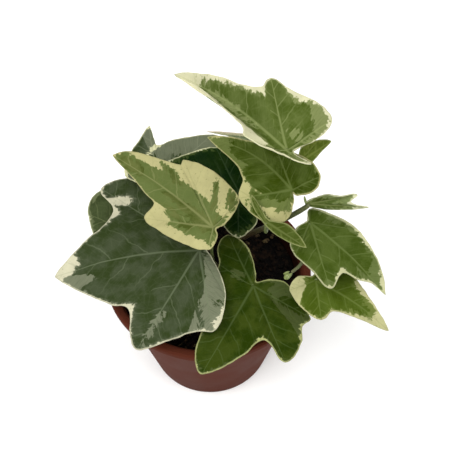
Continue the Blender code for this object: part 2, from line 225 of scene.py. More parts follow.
# %%  Pot profile
POT_HEIGHT = 66.0
RIM_RADIUS = 45.0
SHOULDER_RADIUS = 41.5
FOOT_RADIUS = 29.4
LIP_HEIGHT = 4.2
WALL = 1.4
FLOOR_WALL = 1.6
BOSS_RADIUS = 15.0
GROOVE_RADIUS = 26.0
GROOVE_RISE = 2.6
GROOVE_SLOPE = 1.5
LIP_WIDTH = 3.8
EDGE_BEVEL = 0.8
HOLE_COUNT = 8
HOLE_RADIUS = 2.5
HOLE_CUT_DEPTH = 8.0
POT_STEPS = 144
LIP_FOOT = POT_HEIGHT - LIP_HEIGHT


def wall_radius(height):
    """Outer radius of the tapering wall at a height."""
    return FOOT_RADIUS + (SHOULDER_RADIUS - FOOT_RADIUS) * height / LIP_FOOT


def turned(profile, steps):
    """A closed solid of revolution about Z: the profile (radius, height) runs from axis to axis."""
    bm = bmesh.new()
    points = [bm.verts.new(Vector((radius, 0, height)) * MM) for radius, height in profile]
    for first, second in zip(points, points[1:]):
        bm.edges.new((first, second))
    bmesh.ops.spin(
        bm, geom=bm.verts[:] + bm.edges[:], cent=(0, 0, 0), axis=(0, 0, 1),
        angle=math.tau, steps=steps, use_merge=True,
    )
    bmesh.ops.remove_doubles(bm, verts=bm.verts, dist=0.005 * MM)
    bmesh.ops.recalc_face_normals(bm, faces=bm.faces)
    return bm


POT_PROFILE = [
    (0, 0), (BOSS_RADIUS, 0), (BOSS_RADIUS + GROOVE_SLOPE, GROOVE_RISE),
    (GROOVE_RADIUS, GROOVE_RISE), (GROOVE_RADIUS + GROOVE_SLOPE, 0),
    (FOOT_RADIUS - EDGE_BEVEL, 0), (FOOT_RADIUS, EDGE_BEVEL), (SHOULDER_RADIUS, LIP_FOOT),
    (RIM_RADIUS - 0.6, LIP_FOOT + 0.3), (RIM_RADIUS, LIP_FOOT + 1.0),
    (RIM_RADIUS, POT_HEIGHT - EDGE_BEVEL), (RIM_RADIUS - EDGE_BEVEL, POT_HEIGHT),
    (RIM_RADIUS - LIP_WIDTH + EDGE_BEVEL, POT_HEIGHT),
    (RIM_RADIUS - LIP_WIDTH, POT_HEIGHT - 0.7),
    (SHOULDER_RADIUS - WALL - 0.4, LIP_FOOT - 1.5),
    (wall_radius(GROOVE_RISE + FLOOR_WALL) - WALL, GROOVE_RISE + FLOOR_WALL),
    (BOSS_RADIUS + GROOVE_SLOPE, GROOVE_RISE + FLOOR_WALL), (BOSS_RADIUS, FLOOR_WALL),
    (0, FLOOR_WALL),
]

# %% [markdown]
# Moulded polypropylene is dull when it is used for pots: light spreads softly over it with hardly
# any shine, and its skin has a very fine stipple from the steel mould. Handling leaves it slightly
# duller in patches. The stipple of a real mould is about 0.1 mm, too fine to show here, so it is
# drawn at 0.4 mm. Inside, the wall is painted nearly black up to the lip: painted shade, for the
# deep shade that falls inside the pot.

# %%  Pot finish
pot_plastic, tree, shader = new_material("moulded_brown_polypropylene")
place = add_node(tree, "ShaderNodeTexCoord").outputs["Object"]
STIPPLE_SIZE = 0.4
CLOUD_SIZE = 18.0
INNER_SHADE_TOP = 63.0
INNER_SHADE_FADE = 1.5
INNER_SHADE_RAGGED = 6.0
INNER_SHADE_DARKNESS = 0.85
WALL_SLOPE = (SHOULDER_RADIUS - FOOT_RADIUS) / LIP_FOOT
stipple = noise_value(tree, place, STIPPLE_SIZE * MM, 2)
clouds = noise_value(tree, place, CLOUD_SIZE * MM, 3)
colour = blend_colours(tree, clouds, linear("#472218"), linear("#52281b"))
spot = add_node(tree, "ShaderNodeSeparateXYZ", {"Vector": place}).outputs
squares = [calculate(tree, "POWER", spot[axis], 2.0) for axis in ("X", "Y")]
radius = calculate(tree, "SQRT", calculate(tree, "ADD", *squares))
inside = calculate(tree, "MULTIPLY_ADD", spot["Z"], WALL_SLOPE, (FOOT_RADIUS - WALL / 2) * MM)
inside = calculate(tree, "GREATER_THAN", inside, radius)
above_base = calculate(tree, "GREATER_THAN", spot["Z"], (GROOVE_RISE + FLOOR_WALL - 0.1) * MM)
# Painted shade: the inside wall, from the pot's floor up to the lip, is darkened nearly to black,
# with a ragged top edge, for the shade that falls inside the pot.
inner_shade = calculate(tree, "MULTIPLY_ADD", stipple, INNER_SHADE_RAGGED * MM, spot["Z"])
inner_shade_edge = INNER_SHADE_TOP + INNER_SHADE_RAGGED / 2
inner_shade = ramp(tree, inner_shade, (inner_shade_edge + INNER_SHADE_FADE) * MM, (inner_shade_edge - INNER_SHADE_FADE) * MM)
painted_inner_shade = calculate(tree, "MULTIPLY", inner_shade, calculate(tree, "MULTIPLY", inside, above_base))
painted_inner_shade = calculate(tree, "MULTIPLY", painted_inner_shade, INNER_SHADE_DARKNESS)
# The near-black colour of the painted shade on the inside wall.
colour = blend_colours(tree, painted_inner_shade, colour, linear("#100907"))
roughness = calculate(tree, "MULTIPLY_ADD", ramp(tree, clouds, 0.3, 0.7), 0.1, 0.55)
feed(tree, shader, {
    "Base Color": colour, "Roughness": roughness, "IOR": 1.49, "Specular IOR Level": 0.02})
add_bump(tree, shader, stipple, 0.15, 0.02)
print("pot finish:", pot_plastic.name)

# %%  Pot shape
MOULD_RADIUS = 0.25
SHARP_CORNER = math.radians(20)
pot_mesh = turned(POT_PROFILE, POT_STEPS)
sharp = [edge for edge in pot_mesh.edges
         if len(edge.link_faces) == 2 and edge.calc_face_angle() > SHARP_CORNER
         and abs(edge.verts[0].co.z - edge.verts[1].co.z) < 0.001 * MM]
bmesh.ops.bevel(
    pot_mesh, geom=sharp, affect="EDGES", offset=MOULD_RADIUS * MM, offset_type="OFFSET",
    segments=3, profile=0.5, material=-1, clamp_overlap=True,
)
pot = add_piece("pot_shell", pot_mesh, [pot_plastic], ["pot"])

hole_mesh = bmesh.new()
hole_ring = (BOSS_RADIUS + GROOVE_SLOPE + GROOVE_RADIUS) / 2
for index in range(HOLE_COUNT):
    turn = math.tau * (index + 0.5) / HOLE_COUNT
    centre = Vector((hole_ring * math.cos(turn), hole_ring * math.sin(turn), GROOVE_RISE)) * MM
    bmesh.ops.create_cone(
        hole_mesh, cap_ends=True, segments=32, radius1=HOLE_RADIUS * MM,
        radius2=HOLE_RADIUS * MM, depth=HOLE_CUT_DEPTH * MM, matrix=Matrix.Translation(centre),
    )
hole_data = bpy.data.meshes.new("drills")
hole_mesh.to_mesh(hole_data)
hole_mesh.free()
drills = bpy.data.objects.new("drills", hole_data)
bpy.context.collection.objects.link(drills)
cut = pot.modifiers.new("drainage_holes", "BOOLEAN")
cut.object = drills
cut.operation = "DIFFERENCE"
cut.solver = "EXACT"
bpy.context.view_layer.update()
holed = bpy.data.meshes.new_from_object(pot.evaluated_get(bpy.context.evaluated_depsgraph_get()))
pot.modifiers.clear()
pot.data = holed
bpy.data.objects.remove(drills, do_unlink=True)
holed.set_sharp_from_angle(angle=math.radians(40))
print("pot:", len(holed.polygons), "faces,", HOLE_COUNT, "holes")

# %% [markdown]
# ## The compost
# Potting compost is milled peat and fine bark: near black when it is damp, with brown crumbs and a
# few fibres. It could be a bumpy disc, but its edge against the pot and the gaps between crumbs
# only look right as geometry. So a spun plug is pushed up and down by layered noise, and loose
# crumbs and fibres are strewn on it, each a small cheap shape, all joined in one piece.

# %%  Compost surface
SOIL_TOP = 57.0
SOIL_MOUND = 1.6
MOUND_RADIUS = 40.0
CALM_RADIUS = 15.0
SOIL_GAP = 0.5
SOIL_STEPS = 180
SOIL_RINGS = 56
LUMPS = ((0.9, 7.0), (0.7, 3.2), (0.45, 1.6))


def soil_height(radius, turn):
    """The compost's surface: a low mound, with gentle uneven waves."""
    mound = SOIL_MOUND * math.cos(min(radius / MOUND_RADIUS, 1) * math.pi / 2)
    waves = 0.5 * math.sin(3 * turn + 0.12 * radius) + 0.4 * math.cos(5 * turn - 0.2 * radius)
    return SOIL_TOP + mound + waves * min(radius / CALM_RADIUS, 1)


def soil_surface(x, y):
    """Height of the rough surface at a place, in millimetres."""
    height = soil_height(math.hypot(x, y), math.atan2(y, x))
    for depth, size in LUMPS:
        height += depth * noise.noise(Vector((x / size, y / size, size)))
    return height


soil_floor = GROOVE_RISE + FLOOR_WALL + 0.3
soil_foot = wall_radius(soil_floor) - WALL - SOIL_GAP
soil_rim = wall_radius(SOIL_TOP) - WALL - SOIL_GAP
profile = [(0, soil_floor), (soil_foot, soil_floor), (soil_rim, SOIL_TOP - 2)]
profile += [(soil_rim * (1 - ring / SOIL_RINGS), SOIL_TOP) for ring in range(SOIL_RINGS + 1)]
soil_mesh = turned(profile, SOIL_STEPS)
for vert in soil_mesh.verts:
    if vert.co.z > (SOIL_TOP - 0.5) * MM:
        vert.co.z = soil_surface(vert.co.x / MM, vert.co.y / MM) * MM

# %%  Crumbs and fibres
CRUMB_COUNT = 1500
FINE_CRUMB = (0.35, 0.8)
COARSE_CRUMB = (0.8, 1.5)
FINE_SHARE = 0.85
CRUMB_WIDTH = (0.5, 0.9)
CRUMB_THICKNESS = (0.35, 0.8)
CRUMB_DENT = 0.18
FIBRE_COUNT = 90
FIBRE_LENGTH = (2.5, 6.5)
FIBRE_TILT = 14
FIBRE_LIFT = 0.35
FIBRE_RADII = (0.16, 0.07)
SCATTER_RADIUS = 36.0
rng = random.Random(7)


def scattered_place():
    """A random place on the compost, in millimetres."""
    radius = SCATTER_RADIUS * math.sqrt(rng.random())
    turn = math.tau * rng.random()
    x, y = radius * math.cos(turn), radius * math.sin(turn)
    return Vector((x, y, soil_surface(x, y)))


def random_turn():
    """A random lie: a turn on the ground and a roll."""
    return Matrix.Rotation(math.tau * rng.random(), 4, "Z") @ Matrix.Rotation(
        math.tau * rng.random(), 4, "X")


crumb_mesh = bmesh.new()
for _ in range(CRUMB_COUNT):
    size = rng.uniform(*(FINE_CRUMB if rng.random() < FINE_SHARE else COARSE_CRUMB))
    shape = Matrix.Diagonal((1, rng.uniform(*CRUMB_WIDTH), rng.uniform(*CRUMB_THICKNESS), 1))
    matrix = Matrix.Translation(scattered_place() * MM) @ random_turn() @ shape
    made = bmesh.ops.create_icosphere(crumb_mesh, subdivisions=1, radius=size * MM, matrix=matrix)
    for vert in made["verts"]:
        vert.co += CRUMB_DENT * size * MM * noise.noise_vector(vert.co * (900 / size))
for _ in range(FIBRE_COUNT):
    length = rng.uniform(*FIBRE_LENGTH)
    lie = Matrix.Rotation(math.tau * rng.random(), 4, "Z") @ Matrix.Rotation(
        math.radians(90 + rng.uniform(-FIBRE_TILT, FIBRE_TILT)), 4, "X")
    matrix = Matrix.Translation((scattered_place() + Vector((0, 0, FIBRE_LIFT))) * MM) @ lie
    bmesh.ops.create_cone(
        crumb_mesh, cap_ends=True, segments=5, radius1=FIBRE_RADII[0] * MM,
        radius2=FIBRE_RADII[1] * MM, depth=length * MM, matrix=matrix,
    )
print("crumbs and fibres:", CRUMB_COUNT, "and", FIBRE_COUNT)

# %% [markdown]
# A few chips of pine bark stay whole when the compost is milled. They are flat, angular flakes, so
# each is a squashed ball with its surface pushed about. Their places are chosen one by one, and the
# largest lie to the right of the stems.

# %%  Bark chips
# Each chip: its place across the compost, its half length, and the way it points in degrees.
CHIPS = [
    (26.4, 20.2, 1.9, 20), (17.5, 18.4, 1.5, -30), (29.3, 22.6, 1.7, 70), (22.3, 23.4, 1.4, 10),
    (-11.5, -34.2, 1.0, 15), (-15.8, -31.8, 0.8, -40), (-5.2, -34.2, 0.9, 60),
    (-18.1, -28.5, 0.8, 5), (-25, 8, 1.3, 50), (-8, 30, 1.5, -15), (9, -24, 0.9, 35),
    (30, -10, 1.1, 80),
]
CHIP_SHAPE = (1.0, 0.55, 0.35)
CHIP_TILT = 0.3
CHIP_DENT = 0.3
chip_mesh = bmesh.new()
for x, y, length, turn in CHIPS:
    place = Matrix.Translation(Vector((x, y, soil_surface(x, y) + 0.5)) * MM)
    lie = Matrix.Rotation(math.radians(turn), 4, "Z") @ Matrix.Rotation(CHIP_TILT, 4, "X")
    shape = Matrix.Diagonal([length * side * MM for side in CHIP_SHAPE] + [1])
    made = bmesh.ops.create_icosphere(
        chip_mesh, subdivisions=2, radius=1.0, matrix=place @ lie @ shape)
    for vert in made["verts"]:
        vert.co += CHIP_DENT * MM * noise.noise_vector(vert.co * 900)
print("bark chips:", len(CHIPS))

# %% [markdown]
# Damp compost drinks the light: it is almost black, and brown on its drier crumbs. Towards the
# front it is painted lighter, a painted pool of light where light reaches it past the leaves, and
# its near-black is partly its own colour and partly painted shade. It has no shine to speak of.
# The colour changes over about a crumb's size, 1.5 mm.

# %%  Compost finish
compost, tree, shader = new_material("milled_damp_peat_compost")
place = add_node(tree, "ShaderNodeTexCoord").outputs["Object"]
grains = add_node(tree, "ShaderNodeTexVoronoi", {"Vector": place, "Scale": 1 / (1.5 * MM)})
damp = noise_value(tree, place, 9 * MM, 4)
grain_value = add_node(tree, "ShaderNodeSeparateColor", {
    "Color": grains.outputs["Color"]}).outputs[0]
dryness_and_lit_front = calculate(tree, "MULTIPLY", grain_value, damp)
# Painted light: the compost is made lighter towards the front, where light reaches it past the
# leaves.
front = calculate(tree, "MULTIPLY", add_node(
    tree, "ShaderNodeSeparateXYZ", {"Vector": place}).outputs["Y"], -1.0)
front = ramp(tree, front, 20 * MM, 38 * MM)
dryness_and_lit_front = calculate(tree, "MULTIPLY_ADD", front, 0.1, dryness_and_lit_front)
# The near-black base colour is partly the damp compost's own colour and partly painted shade.
colour = blend_colours(tree, ramp(tree, dryness_and_lit_front, 0.25, 0.55), linear("#060403"), linear("#1c120b"))
colour = blend_colours(tree, ramp(tree, dryness_and_lit_front, 0.58, 0.64), colour, linear("#382919"))
feed(tree, shader, {"Base Color": colour, "Roughness": 0.9, "Specular IOR Level": 0.08})
add_bump(tree, shader, noise_value(tree, place, 0.5 * MM, 4), 0.7, 0.25)
soil = add_piece("compost_plug", soil_mesh, [compost], ["soil"])
crumbs = add_piece("compost_crumbs", crumb_mesh, [compost], [])
print("compost:", len(soil.data.polygons), "faces, crumbs:", len(crumbs.data.polygons), "faces")

# %% [markdown]
# Bark is dry and dull, paler than the compost, with darker bands about a millimetre apart.

# %%  Bark finish
bark, tree, shader = new_material("dry_chipped_pine_bark")
place = add_node(tree, "ShaderNodeTexCoord").outputs["Object"]
flakes = noise_value(tree, place, 1.2 * MM, 4)
colour = blend_colours(tree, ramp(tree, flakes, 0.35, 0.65), linear("#1f1710"), linear("#54462f"))
feed(tree, shader, {"Base Color": colour, "Roughness": 0.85, "Specular IOR Level": 0.1})
chips = add_piece("bark_chips", chip_mesh, [bark], [])
print("bark chips:", len(chips.data.polygons), "faces")

# %% [markdown]
# ## The leaves
# An ivy leaf is a flat sheet that never lies flat. Its main veins run from the top of the stalk to
# the tip of each lobe, and the blade is creased down along them and puffed up between them. Each
# leaf here is a disc of spokes and rings, spun from one straight row of points and then pulled out
# to the leaf's own outline, so that a spoke runs along every main vein. The outline, where the
# cream margin starts on each spoke, and the odd patches are what make one leaf unlike the next, so
# they are set down leaf by leaf.
#
# An outline row is a kind, an angle left of the midrib, a radius and a height above the blade's
# plane, in degrees and millimetres. `cream` and `grey` say at which share of the way out those
# tones begin, by angle. A patch is a tone, a place, two radii and a turn. `junction` is where the
# stalk meets the blade, `turn` its heading, pitch and roll, and `bow` bends the midrib. `tones` are
# deep green, fresh green, grey, cream and vein.

# %%  Leaf table
LEAVES = {
    "crown": {
        "junction": (29, -2.5, 140), "turn": (138, 4, -13), "bow": -2.6,
        "outline": [
            ("lobe", 168, 13.5, 8), ("edge", 122, 7.4, 9), ("lobe", 39, 14.3, 10),
            ("notch", 22, 15.6, 8.3), ("edge", 9.5, 22.5, 6.3), ("edge", 3.5, 33, 4.2),
            ("edge", 0.5, 42, 2.8), ("tip", 0, 55.5, 0), ("edge", -9, 41.5, 4),
            ("notch", -28, 25, 6), ("lobe", -39, 28.5, 5.5), ("edge", -52, 24, 4),
            ("edge", -84, 22, 1), ("lobe", -100, 21.5, -1.5), ("edge", -109, 14.5, -3),
            ("sinus", -150, 2.5, 0),
        ],
        "cream": [
            (168, 0.7), (120, 0.5), (90, 0.45), (60, 0.42), (39, 0.42), (30, 0.46), (22, 0.55),
            (12, 0.7), (7, 0.76), (3.5, 0.82), (0, 0.74), (-3, 0.82), (-6, 0.9), (-9, 0.91),
            (-15, 0.9), (-20, 0.9), (-26, 0.88), (-29, 0.83), (-33, 0.94), (-38, 0.97), (-44, 1),
            (-50, 0.94), (-57, 0.88), (-64, 0.85), (-69, 0.88), (-75, 0.95), (-80, 0.91),
            (-86, 0.94), (-92, 0.88), (-98, 0.9), (-104, 0.8), (-112, 0.76), (-125, 0.86),
            (-150, 0.85),
        ],
        "grey": [
            (168, 0.45), (120, 0.2), (60, 0.2), (39, 0.25), (22, 0.4), (12, 0.6), (7, 0.75),
            (3, 0.9), (-3, 1), (-12, 0.95), (-20, 0.9), (-26, 1), (-45, 1.05), (-55, 0.9),
            (-63, 0.78), (-70, 0.95), (-78, 0.85), (-88, 0.7), (-100, 0.55), (-120, 0.45),
            (-150, 0.5),
        ],
        "patches": [
            ("grey", 29, -1.4, 11, 1.5, -3), ("grey", 2, -7, 2.4, 1.6, 0),
            ("grey", 33, -8, 4, 1.2, 14),
        ],
        "tones": ("#3c4a16", "#4d5929", "#6d7548", "#bbb997", "#7a8352"),
    },
    "upper": {
        "junction": (32.5, -1.5, 118), "turn": (139, 0, -41), "bow": -3.4,
        "outline": [
            ("edge", 120, 4.5, -3), ("lobe", 100, 12, -5.5), ("edge", 74, 17, -1.5),
            ("lobe", 40, 20.5, 3.5), ("notch", 20, 19.5, 3), ("edge", 7, 25, 1.5),
            ("tip", 0, 43, 0), ("edge", -6, 37.5, -2), ("notch", -13, 30, -3),
            ("lobe", -35, 19, -1.5), ("edge", -97, 13, 1), ("lobe", -125, 12, -0.5),
            ("edge", -154, 9, 0.5), ("edge", 170, 3.6, 0.8), ("sinus", 142, 1.6, 0),
        ],
        "cream": [
            (142, 0.6), (120, 0.5), (110, 0.5), (105, 0.55), (100, 0.62), (92, 0.64), (80, 0.58),
            (72, 0.55), (66, 0.62), (60, 0.7), (50, 0.75), (43, 0.78), (38, 0.74), (30, 0.76),
            (24, 0.82), (20, 0.9), (12, 0.95), (0, 0.96), (-20, 0.95), (-45, 0.95), (-90, 0.97),
            (170, 0.97),
        ],
        "grey": [
            (120, 0.3), (100, 0.3), (75, 0.34), (60, 0.42), (48, 0.62), (38, 0.95), (12, 1.05),
            (6, 0.9), (3, 0.72), (0, 0.7), (-4, 0.8), (-8, 1.05), (-60, 1.1), (-100, 0.95),
            (-115, 0.9), (-154, 1.1), (177, 1.1),
        ],
        "patches": [
            ("fresh", 11.5, 4.8, 3.6, 1.5, 8), ("green", 7, 14.5, 4, 1.6, -20),
            ("cream", 10.5, 7.2, 1.8, 0.5, 0),
        ],
        "tones": ("#2e3c03", "#43501e", "#5e6838", "#a7a371", "#5f6b39"),
    },
    "cream": {
        "junction": (2.5, -8.5, 104), "turn": (143, 9, -18), "bow": -1.5,
        "outline": [
            ("edge", 151, 4.5, -0.5), ("lobe", 116, 9, -1), ("edge", 66, 13, -1),
            ("edge", 39, 21.5, -0.5), ("lobe", 28, 27.5, -1), ("notch", 14, 25.5, 0),
            ("edge", 9, 30.8, -0.4), ("edge", 3.5, 40, -0.3), ("tip", 0, 52, 0),
            ("edge", -8, 47, -1.5), ("notch", -26, 30, -0.5), ("lobe", -30, 31.5, 0),
            ("edge", -51, 24, 0), ("edge", -84, 17, -0.5), ("lobe", -96, 15, -1.5),
            ("edge", -123, 5, -1), ("sinus", -165, 1.5, 0),
        ],
        "cream": [
            (151, 0.75), (130, 0.74), (116, 0.66), (105, 0.58), (90, 0.54), (78, 0.55), (66, 0.59),
            (55, 0.61), (45, 0.62), (37, 0.64), (30, 0.65), (27, 0.56), (22, 0.56), (17, 0.72),
            (14, 0.8), (10, 0.94), (3.5, 0.95), (-2, 0.96), (-5, 0.94), (-8, 0.85), (-10.5, 0.77),
            (-16, 0.74), (-24, 0.62), (-30, 0.48), (-38, 0.42), (-46, 0.38), (-55, 0.36),
            (-68, 0.3), (-80, 0.26), (-95, 0.3), (-123, 0.5), (-165, 0.6),
        ],
        "grey": [
            (151, 0.3), (116, 0.2), (60, 0.26), (28, 0.3), (14, 0.4), (5, 0.45), (0, 0.5),
            (-8, 0.3), (-30, 0.15), (-60, 0.1), (-123, 0.2), (-165, 0.2),
        ],
        "patches": [
            ("green", 1, -13.2, 3.2, 1.5, -55), ("green", 5.2, -8.2, 3.2, 0.9, -55),
            ("green", 8.3, -12, 2.2, 0.6, -60), ("green", 26.5, -8, 4.5, 1.4, -14),
            ("fresh", 15.5, 4.8, 3.4, 1.3, -4), ("deep", 8, 5.5, 2.5, 2.2, 60),
            ("deep", 17, 0, 3.6, 1.4, 10), ("fresh", 43, -1.5, 6.5, 2.4, -8),
            ("deep", 7, -0.5, 4.5, 0.8, -3),
        ],
        "tones": ("#3f491b", "#555c2f", "#525e30", "#a39e6f", "#7c7f52"),
    },
    "large": {
        "junction": (-3.5, -5, 84), "turn": (-170, -4, -7), "bow": -3.2,
        "outline": [
            ("edge", 151, 5, -2), ("edge", 119, 14.5, -2), ("lobe", 109, 22.5, -2),
            ("edge", 96, 32.5, -1.5), ("lobe", 89, 36, -0.5), ("notch", 79, 35.5, -0.5),
            ("edge", 63, 41.5, 0), ("lobe", 51, 48.5, -0.5), ("edge", 44, 45, 0),
            ("notch", 34, 38, 2), ("edge", 25, 42.5, 2), ("tip", 0, 60, 0), ("edge", -11, 51, 1.5),
            ("notch", -38, 42, 1), ("lobe", -47, 55, -0.5), ("edge", -61.5, 49, -1),
            ("lobe", -69.5, 40.5, -0.5), ("edge", -75, 20.5, 1), ("sinus", -170, 3, 0),
        ],
        "cream": [
            (151, 0.97), (112, 0.97), (104, 0.95), (99, 0.88), (94, 0.9), (90, 0.97), (79, 0.98),
            (66, 0.98), (60, 0.97), (52, 0.985), (44, 0.98), (39, 0.96), (35, 0.9), (31, 0.95),
            (28, 0.98), (12, 0.985), (3, 0.98), (1, 0.93), (0, 0.87), (-4, 0.87), (-7, 0.9),
            (-9, 0.97), (-18, 0.985), (-28, 0.98), (-34, 0.96), (-38, 0.9), (-42, 0.93),
            (-49, 0.985), (-69, 0.98), (-170, 0.95),
        ],
        "grey": [
            (151, 0.4), (119, 0.25), (100, 0.25), (90, 0.35), (86, 0.55), (82, 0.62), (78, 0.72),
            (76, 0.84), (73, 1.1), (30, 1.1), (9, 0.98), (6, 0.8), (1, 0.78), (0, 1), (-6, 1.1),
            (-170, 1),
        ],
        "patches": [
            ("cream", 30.5, -31.6, 6.5, 3.2, -8), ("cream", -2, 33, 3.6, 2.4, 60),
            ("grey", 20, 26.5, 3.4, 1.8, 35), ("grey", 25.5, 32.5, 4, 1.5, 62),
            ("deep", -4.4, 23.8, 1.9, 1.5, 0), ("green", 4.5, 29, 1.2, 3.4, -4),
            ("deep", 6, 1, 9, 3.5, 30), ("deep", 8, 12, 8, 2, 60),
        ],
        # The greyish tones here, and the grey patches above, are partly the leaf's own colour and
        # partly painted sheen.
        "tones": ("#293417", "#3a422d", "#6a6e59", "#b9b69b", "#616a51"),
    },
    "front": {
        "junction": (19, -16, 74), "turn": (-118, -3, -11), "bow": 1.0,
        "outline": [
            ("edge", 140, 7.5, 1.5), ("edge", 124, 14.5, 1), ("lobe", 91, 27, -1),
            ("notch", 79, 26, -1), ("edge", 67, 30.5, 0.5), ("lobe", 48, 35, 1.5),
            ("notch", 37, 24.5, 2), ("edge", 19, 31.5, 1.5), ("lobe", 0, 44, 0.5),
            ("edge", -9, 39, 0), ("notch", -17, 30, 1), ("edge", -46, 20, 0),
            ("lobe", -93, 17, 0.5), ("edge", -111, 23, 0.5), ("lobe", -127, 25.5, 1.5),
            ("edge", -143, 17, 2.5), ("edge", -160, 6.5, 1.5), ("sinus", 175, 2.5, 0),
        ],
        "cream": [
            (140, 0.97), (110, 0.98), (95, 0.98), (86, 0.96), (78, 0.94), (72, 0.9), (66, 0.95),
            (56, 0.98), (48, 0.975), (44, 0.95), (40, 0.96), (36, 0.93), (32, 0.94), (26, 0.97),
            (12, 0.97), (0, 0.985), (-9, 0.97), (-17, 0.96), (-60, 0.97), (-115, 0.98),
            (-130, 0.97), (-143, 0.93), (-155, 0.9), (175, 0.95),
        ],
        "grey": [
            (140, 0.7), (120, 0.45), (100, 0.35), (84, 0.35), (76, 0.5), (68, 1), (30, 1.1),
            (10, 1), (0, 0.97), (-12, 0.95), (-40, 1.1), (-138, 1), (-150, 0.8), (175, 0.9),
        ],
        "patches": [
            ("deep", -2, 19, 3, 6, 8), ("fresh", 34, -1, 8, 7, 0), ("fresh", 14, 5, 6, 3, 0),
            ("grey", 38, 5.4, 2.6, 0.8, -22), ("deep", -5, -10, 9, 6, 60),
            ("grey", -1, -8, 1.6, 2.4, 10),
        ],
        "tones": ("#1e2d01", "#2f3b0c", "#434c29", "#989b67", "#48562f"),
    },
    "right": {
        "junction": (41.5, -1.5, 98), "turn": (-44, -17, 18), "bow": 1.4,
        "outline": [
            ("lobe", 140, 5.5, 2), ("edge", 59, 9, 4.5), ("lobe", 36, 18.5, 3.5),
            ("edge", 21, 26.5, 1.5), ("edge", 12, 33, 0.5), ("tip", 1, 40.8, 0),
            ("edge", 0.7, 34.8, 0.4), ("edge", -6, 29.4, 1.6), ("notch", -14, 24, 2.5),
            ("lobe", -30, 28, 3.5), ("edge", -45, 19.5, 2.5), ("lobe", -69, 15, 0.5),
            ("edge", -87, 12, -0.5), ("edge", -112, 6, 0), ("sinus", -165, 1.5, 0),
        ],
        "cream": [
            (140, 0.98), (70, 0.98), (50, 0.97), (42, 0.92), (36, 0.88), (30, 0.86), (24, 0.86),
            (20, 0.91), (14, 0.95), (9, 0.93), (5, 0.91), (1, 0.94), (-3, 0.94), (-8, 0.91),
            (-14, 0.88), (-18, 0.94), (-22, 0.9), (-27, 0.97), (-31, 0.92), (-38, 0.97),
            (-60, 0.97), (-112, 0.96), (-165, 0.96),
        ],
        # Between 30 and 80 degrees, near the margin, this grey is painted sheen.
        "grey": [
            (140, 0.95), (80, 0.85), (55, 0.78), (42, 0.76), (30, 0.88), (20, 0.98), (13, 0.88),
            (6, 0.78), (1, 0.78), (-4, 1), (-14, 0.92), (-20, 1.05), (-30, 0.88), (-38, 1.1),
            (-66, 1.05), (-80, 0.9), (-100, 1), (-165, 1.1),
        ],
        "patches": [("fresh", 12, -3, 7, 3, -30), ("deep", 5, -4, 5, 1.5, -40)],
        "tones": ("#32410b", "#414f1d", "#576236", "#acac85", "#5e6b3a"),
    },
    "lower_right": {
        "junction": (44, -19, 82.5), "turn": (-31, -17, 13), "bow": 1.6,
        "outline": [
            ("edge", 109, 5, -1), ("lobe", 67, 12.5, -0.5), ("edge", 41, 15.6, 1),
            ("edge", 20, 21, 1.5), ("edge", 7.5, 28.2, 1), ("tip", 0, 35, 0), ("edge", -8, 23, 1),
            ("notch", -30, 14, 1.5), ("lobe", -50, 16, 0), ("edge", -82, 13, -0.5),
            ("lobe", -125, 11.5, -0.5), ("edge", -155, 8, -1), ("sinus", 160, 2.5, 0),
        ],
        "cream": [
            (109, 0.98), (75, 0.98), (60, 0.97), (38, 0.94), (30, 0.84), (24, 0.8), (20, 0.82),
            (15, 0.86), (8, 0.9), (5, 0.84), (2, 0.74), (0, 0.7), (-4, 0.76), (-8, 0.85),
            (-14, 0.9), (-20, 0.95), (-28, 0.93), (-50, 0.94), (-62, 0.92), (-75, 0.95), (-90, 0.9),
            (-98, 0.7), (-106, 0.5), (-115, 0.36), (-125, 0.3), (-136, 0.3), (-146, 0.36),
            (-155, 0.5), (-165, 0.72), (160, 0.9),
        ],
        "grey": [
            (109, 0.95), (70, 0.9), (40, 0.96), (15, 0.9), (5, 0.74), (0, 0.66), (-8, 0.85),
            (-30, 1.1), (-60, 1), (-90, 1), (-105, 0.7), (-125, 0.46), (-150, 0.46), (160, 0.9),
        ],
        "patches": [],
        "tones": ("#39480a", "#425117", "#5e6832", "#a5a377", "#5d6a33"),
    },
    "young_right": {
        "junction": (39.5, 0, 108), "turn": (-3, -2, 79), "bow": 0.0,
        "outline": [
            ("edge", 45, 4.5, -0.5), ("lobe", 34, 9.5, 0), ("notch", 22, 13.5, 0.5),
            ("lobe", 15, 19.5, -1), ("notch", 8, 17, 0.5), ("tip", 0, 24, 0),
            ("edge", -10, 13.5, -0.5), ("edge", -27, 6, -1), ("sinus", 180, 1, 0),
        ],
        "cream": [
            (45, 0.97), (34, 0.98), (24, 0.97), (18, 0.93), (14, 0.88), (8, 0.9), (2, 0.85),
            (0, 0.76), (-6, 0.8), (-12, 0.85), (-20, 0.9), (180, 0.9),
        ],
        "grey": [(45, 0.95), (34, 0.8), (20, 0.7), (0, 0.6), (-10, 0.6), (-27, 0.7), (180, 0.8)],
        "patches": [],
        "tones": ("#3b4714", "#495827", "#687347", "#bdbe9c", "#7a834f"),
    },
    "young_centre": {
        "junction": (23, -9.8, 109), "turn": (-25, -22, 42), "bow": 0.0,
        "outline": [
            ("edge", 172, 4.4, 0), ("edge", 163, 8.2, 0.3), ("lobe", 153, 11.3, 0),
            ("edge", 147, 8, 0), ("edge", 142, 3.8, 0), ("notch", 80, 1.3, 0.2),
            ("edge", 31, 4.6, 0.4), ("edge", 26, 8.4, 0.5), ("edge", 10, 13.8, -0.2),
            ("tip", 0, 18.4, 0), ("edge", -6, 14.2, 0), ("edge", -16, 8, -0.2),
            ("edge", -34, 3.4, -0.2), ("sinus", -130, 1.2, 0),
        ],
        "cream": [
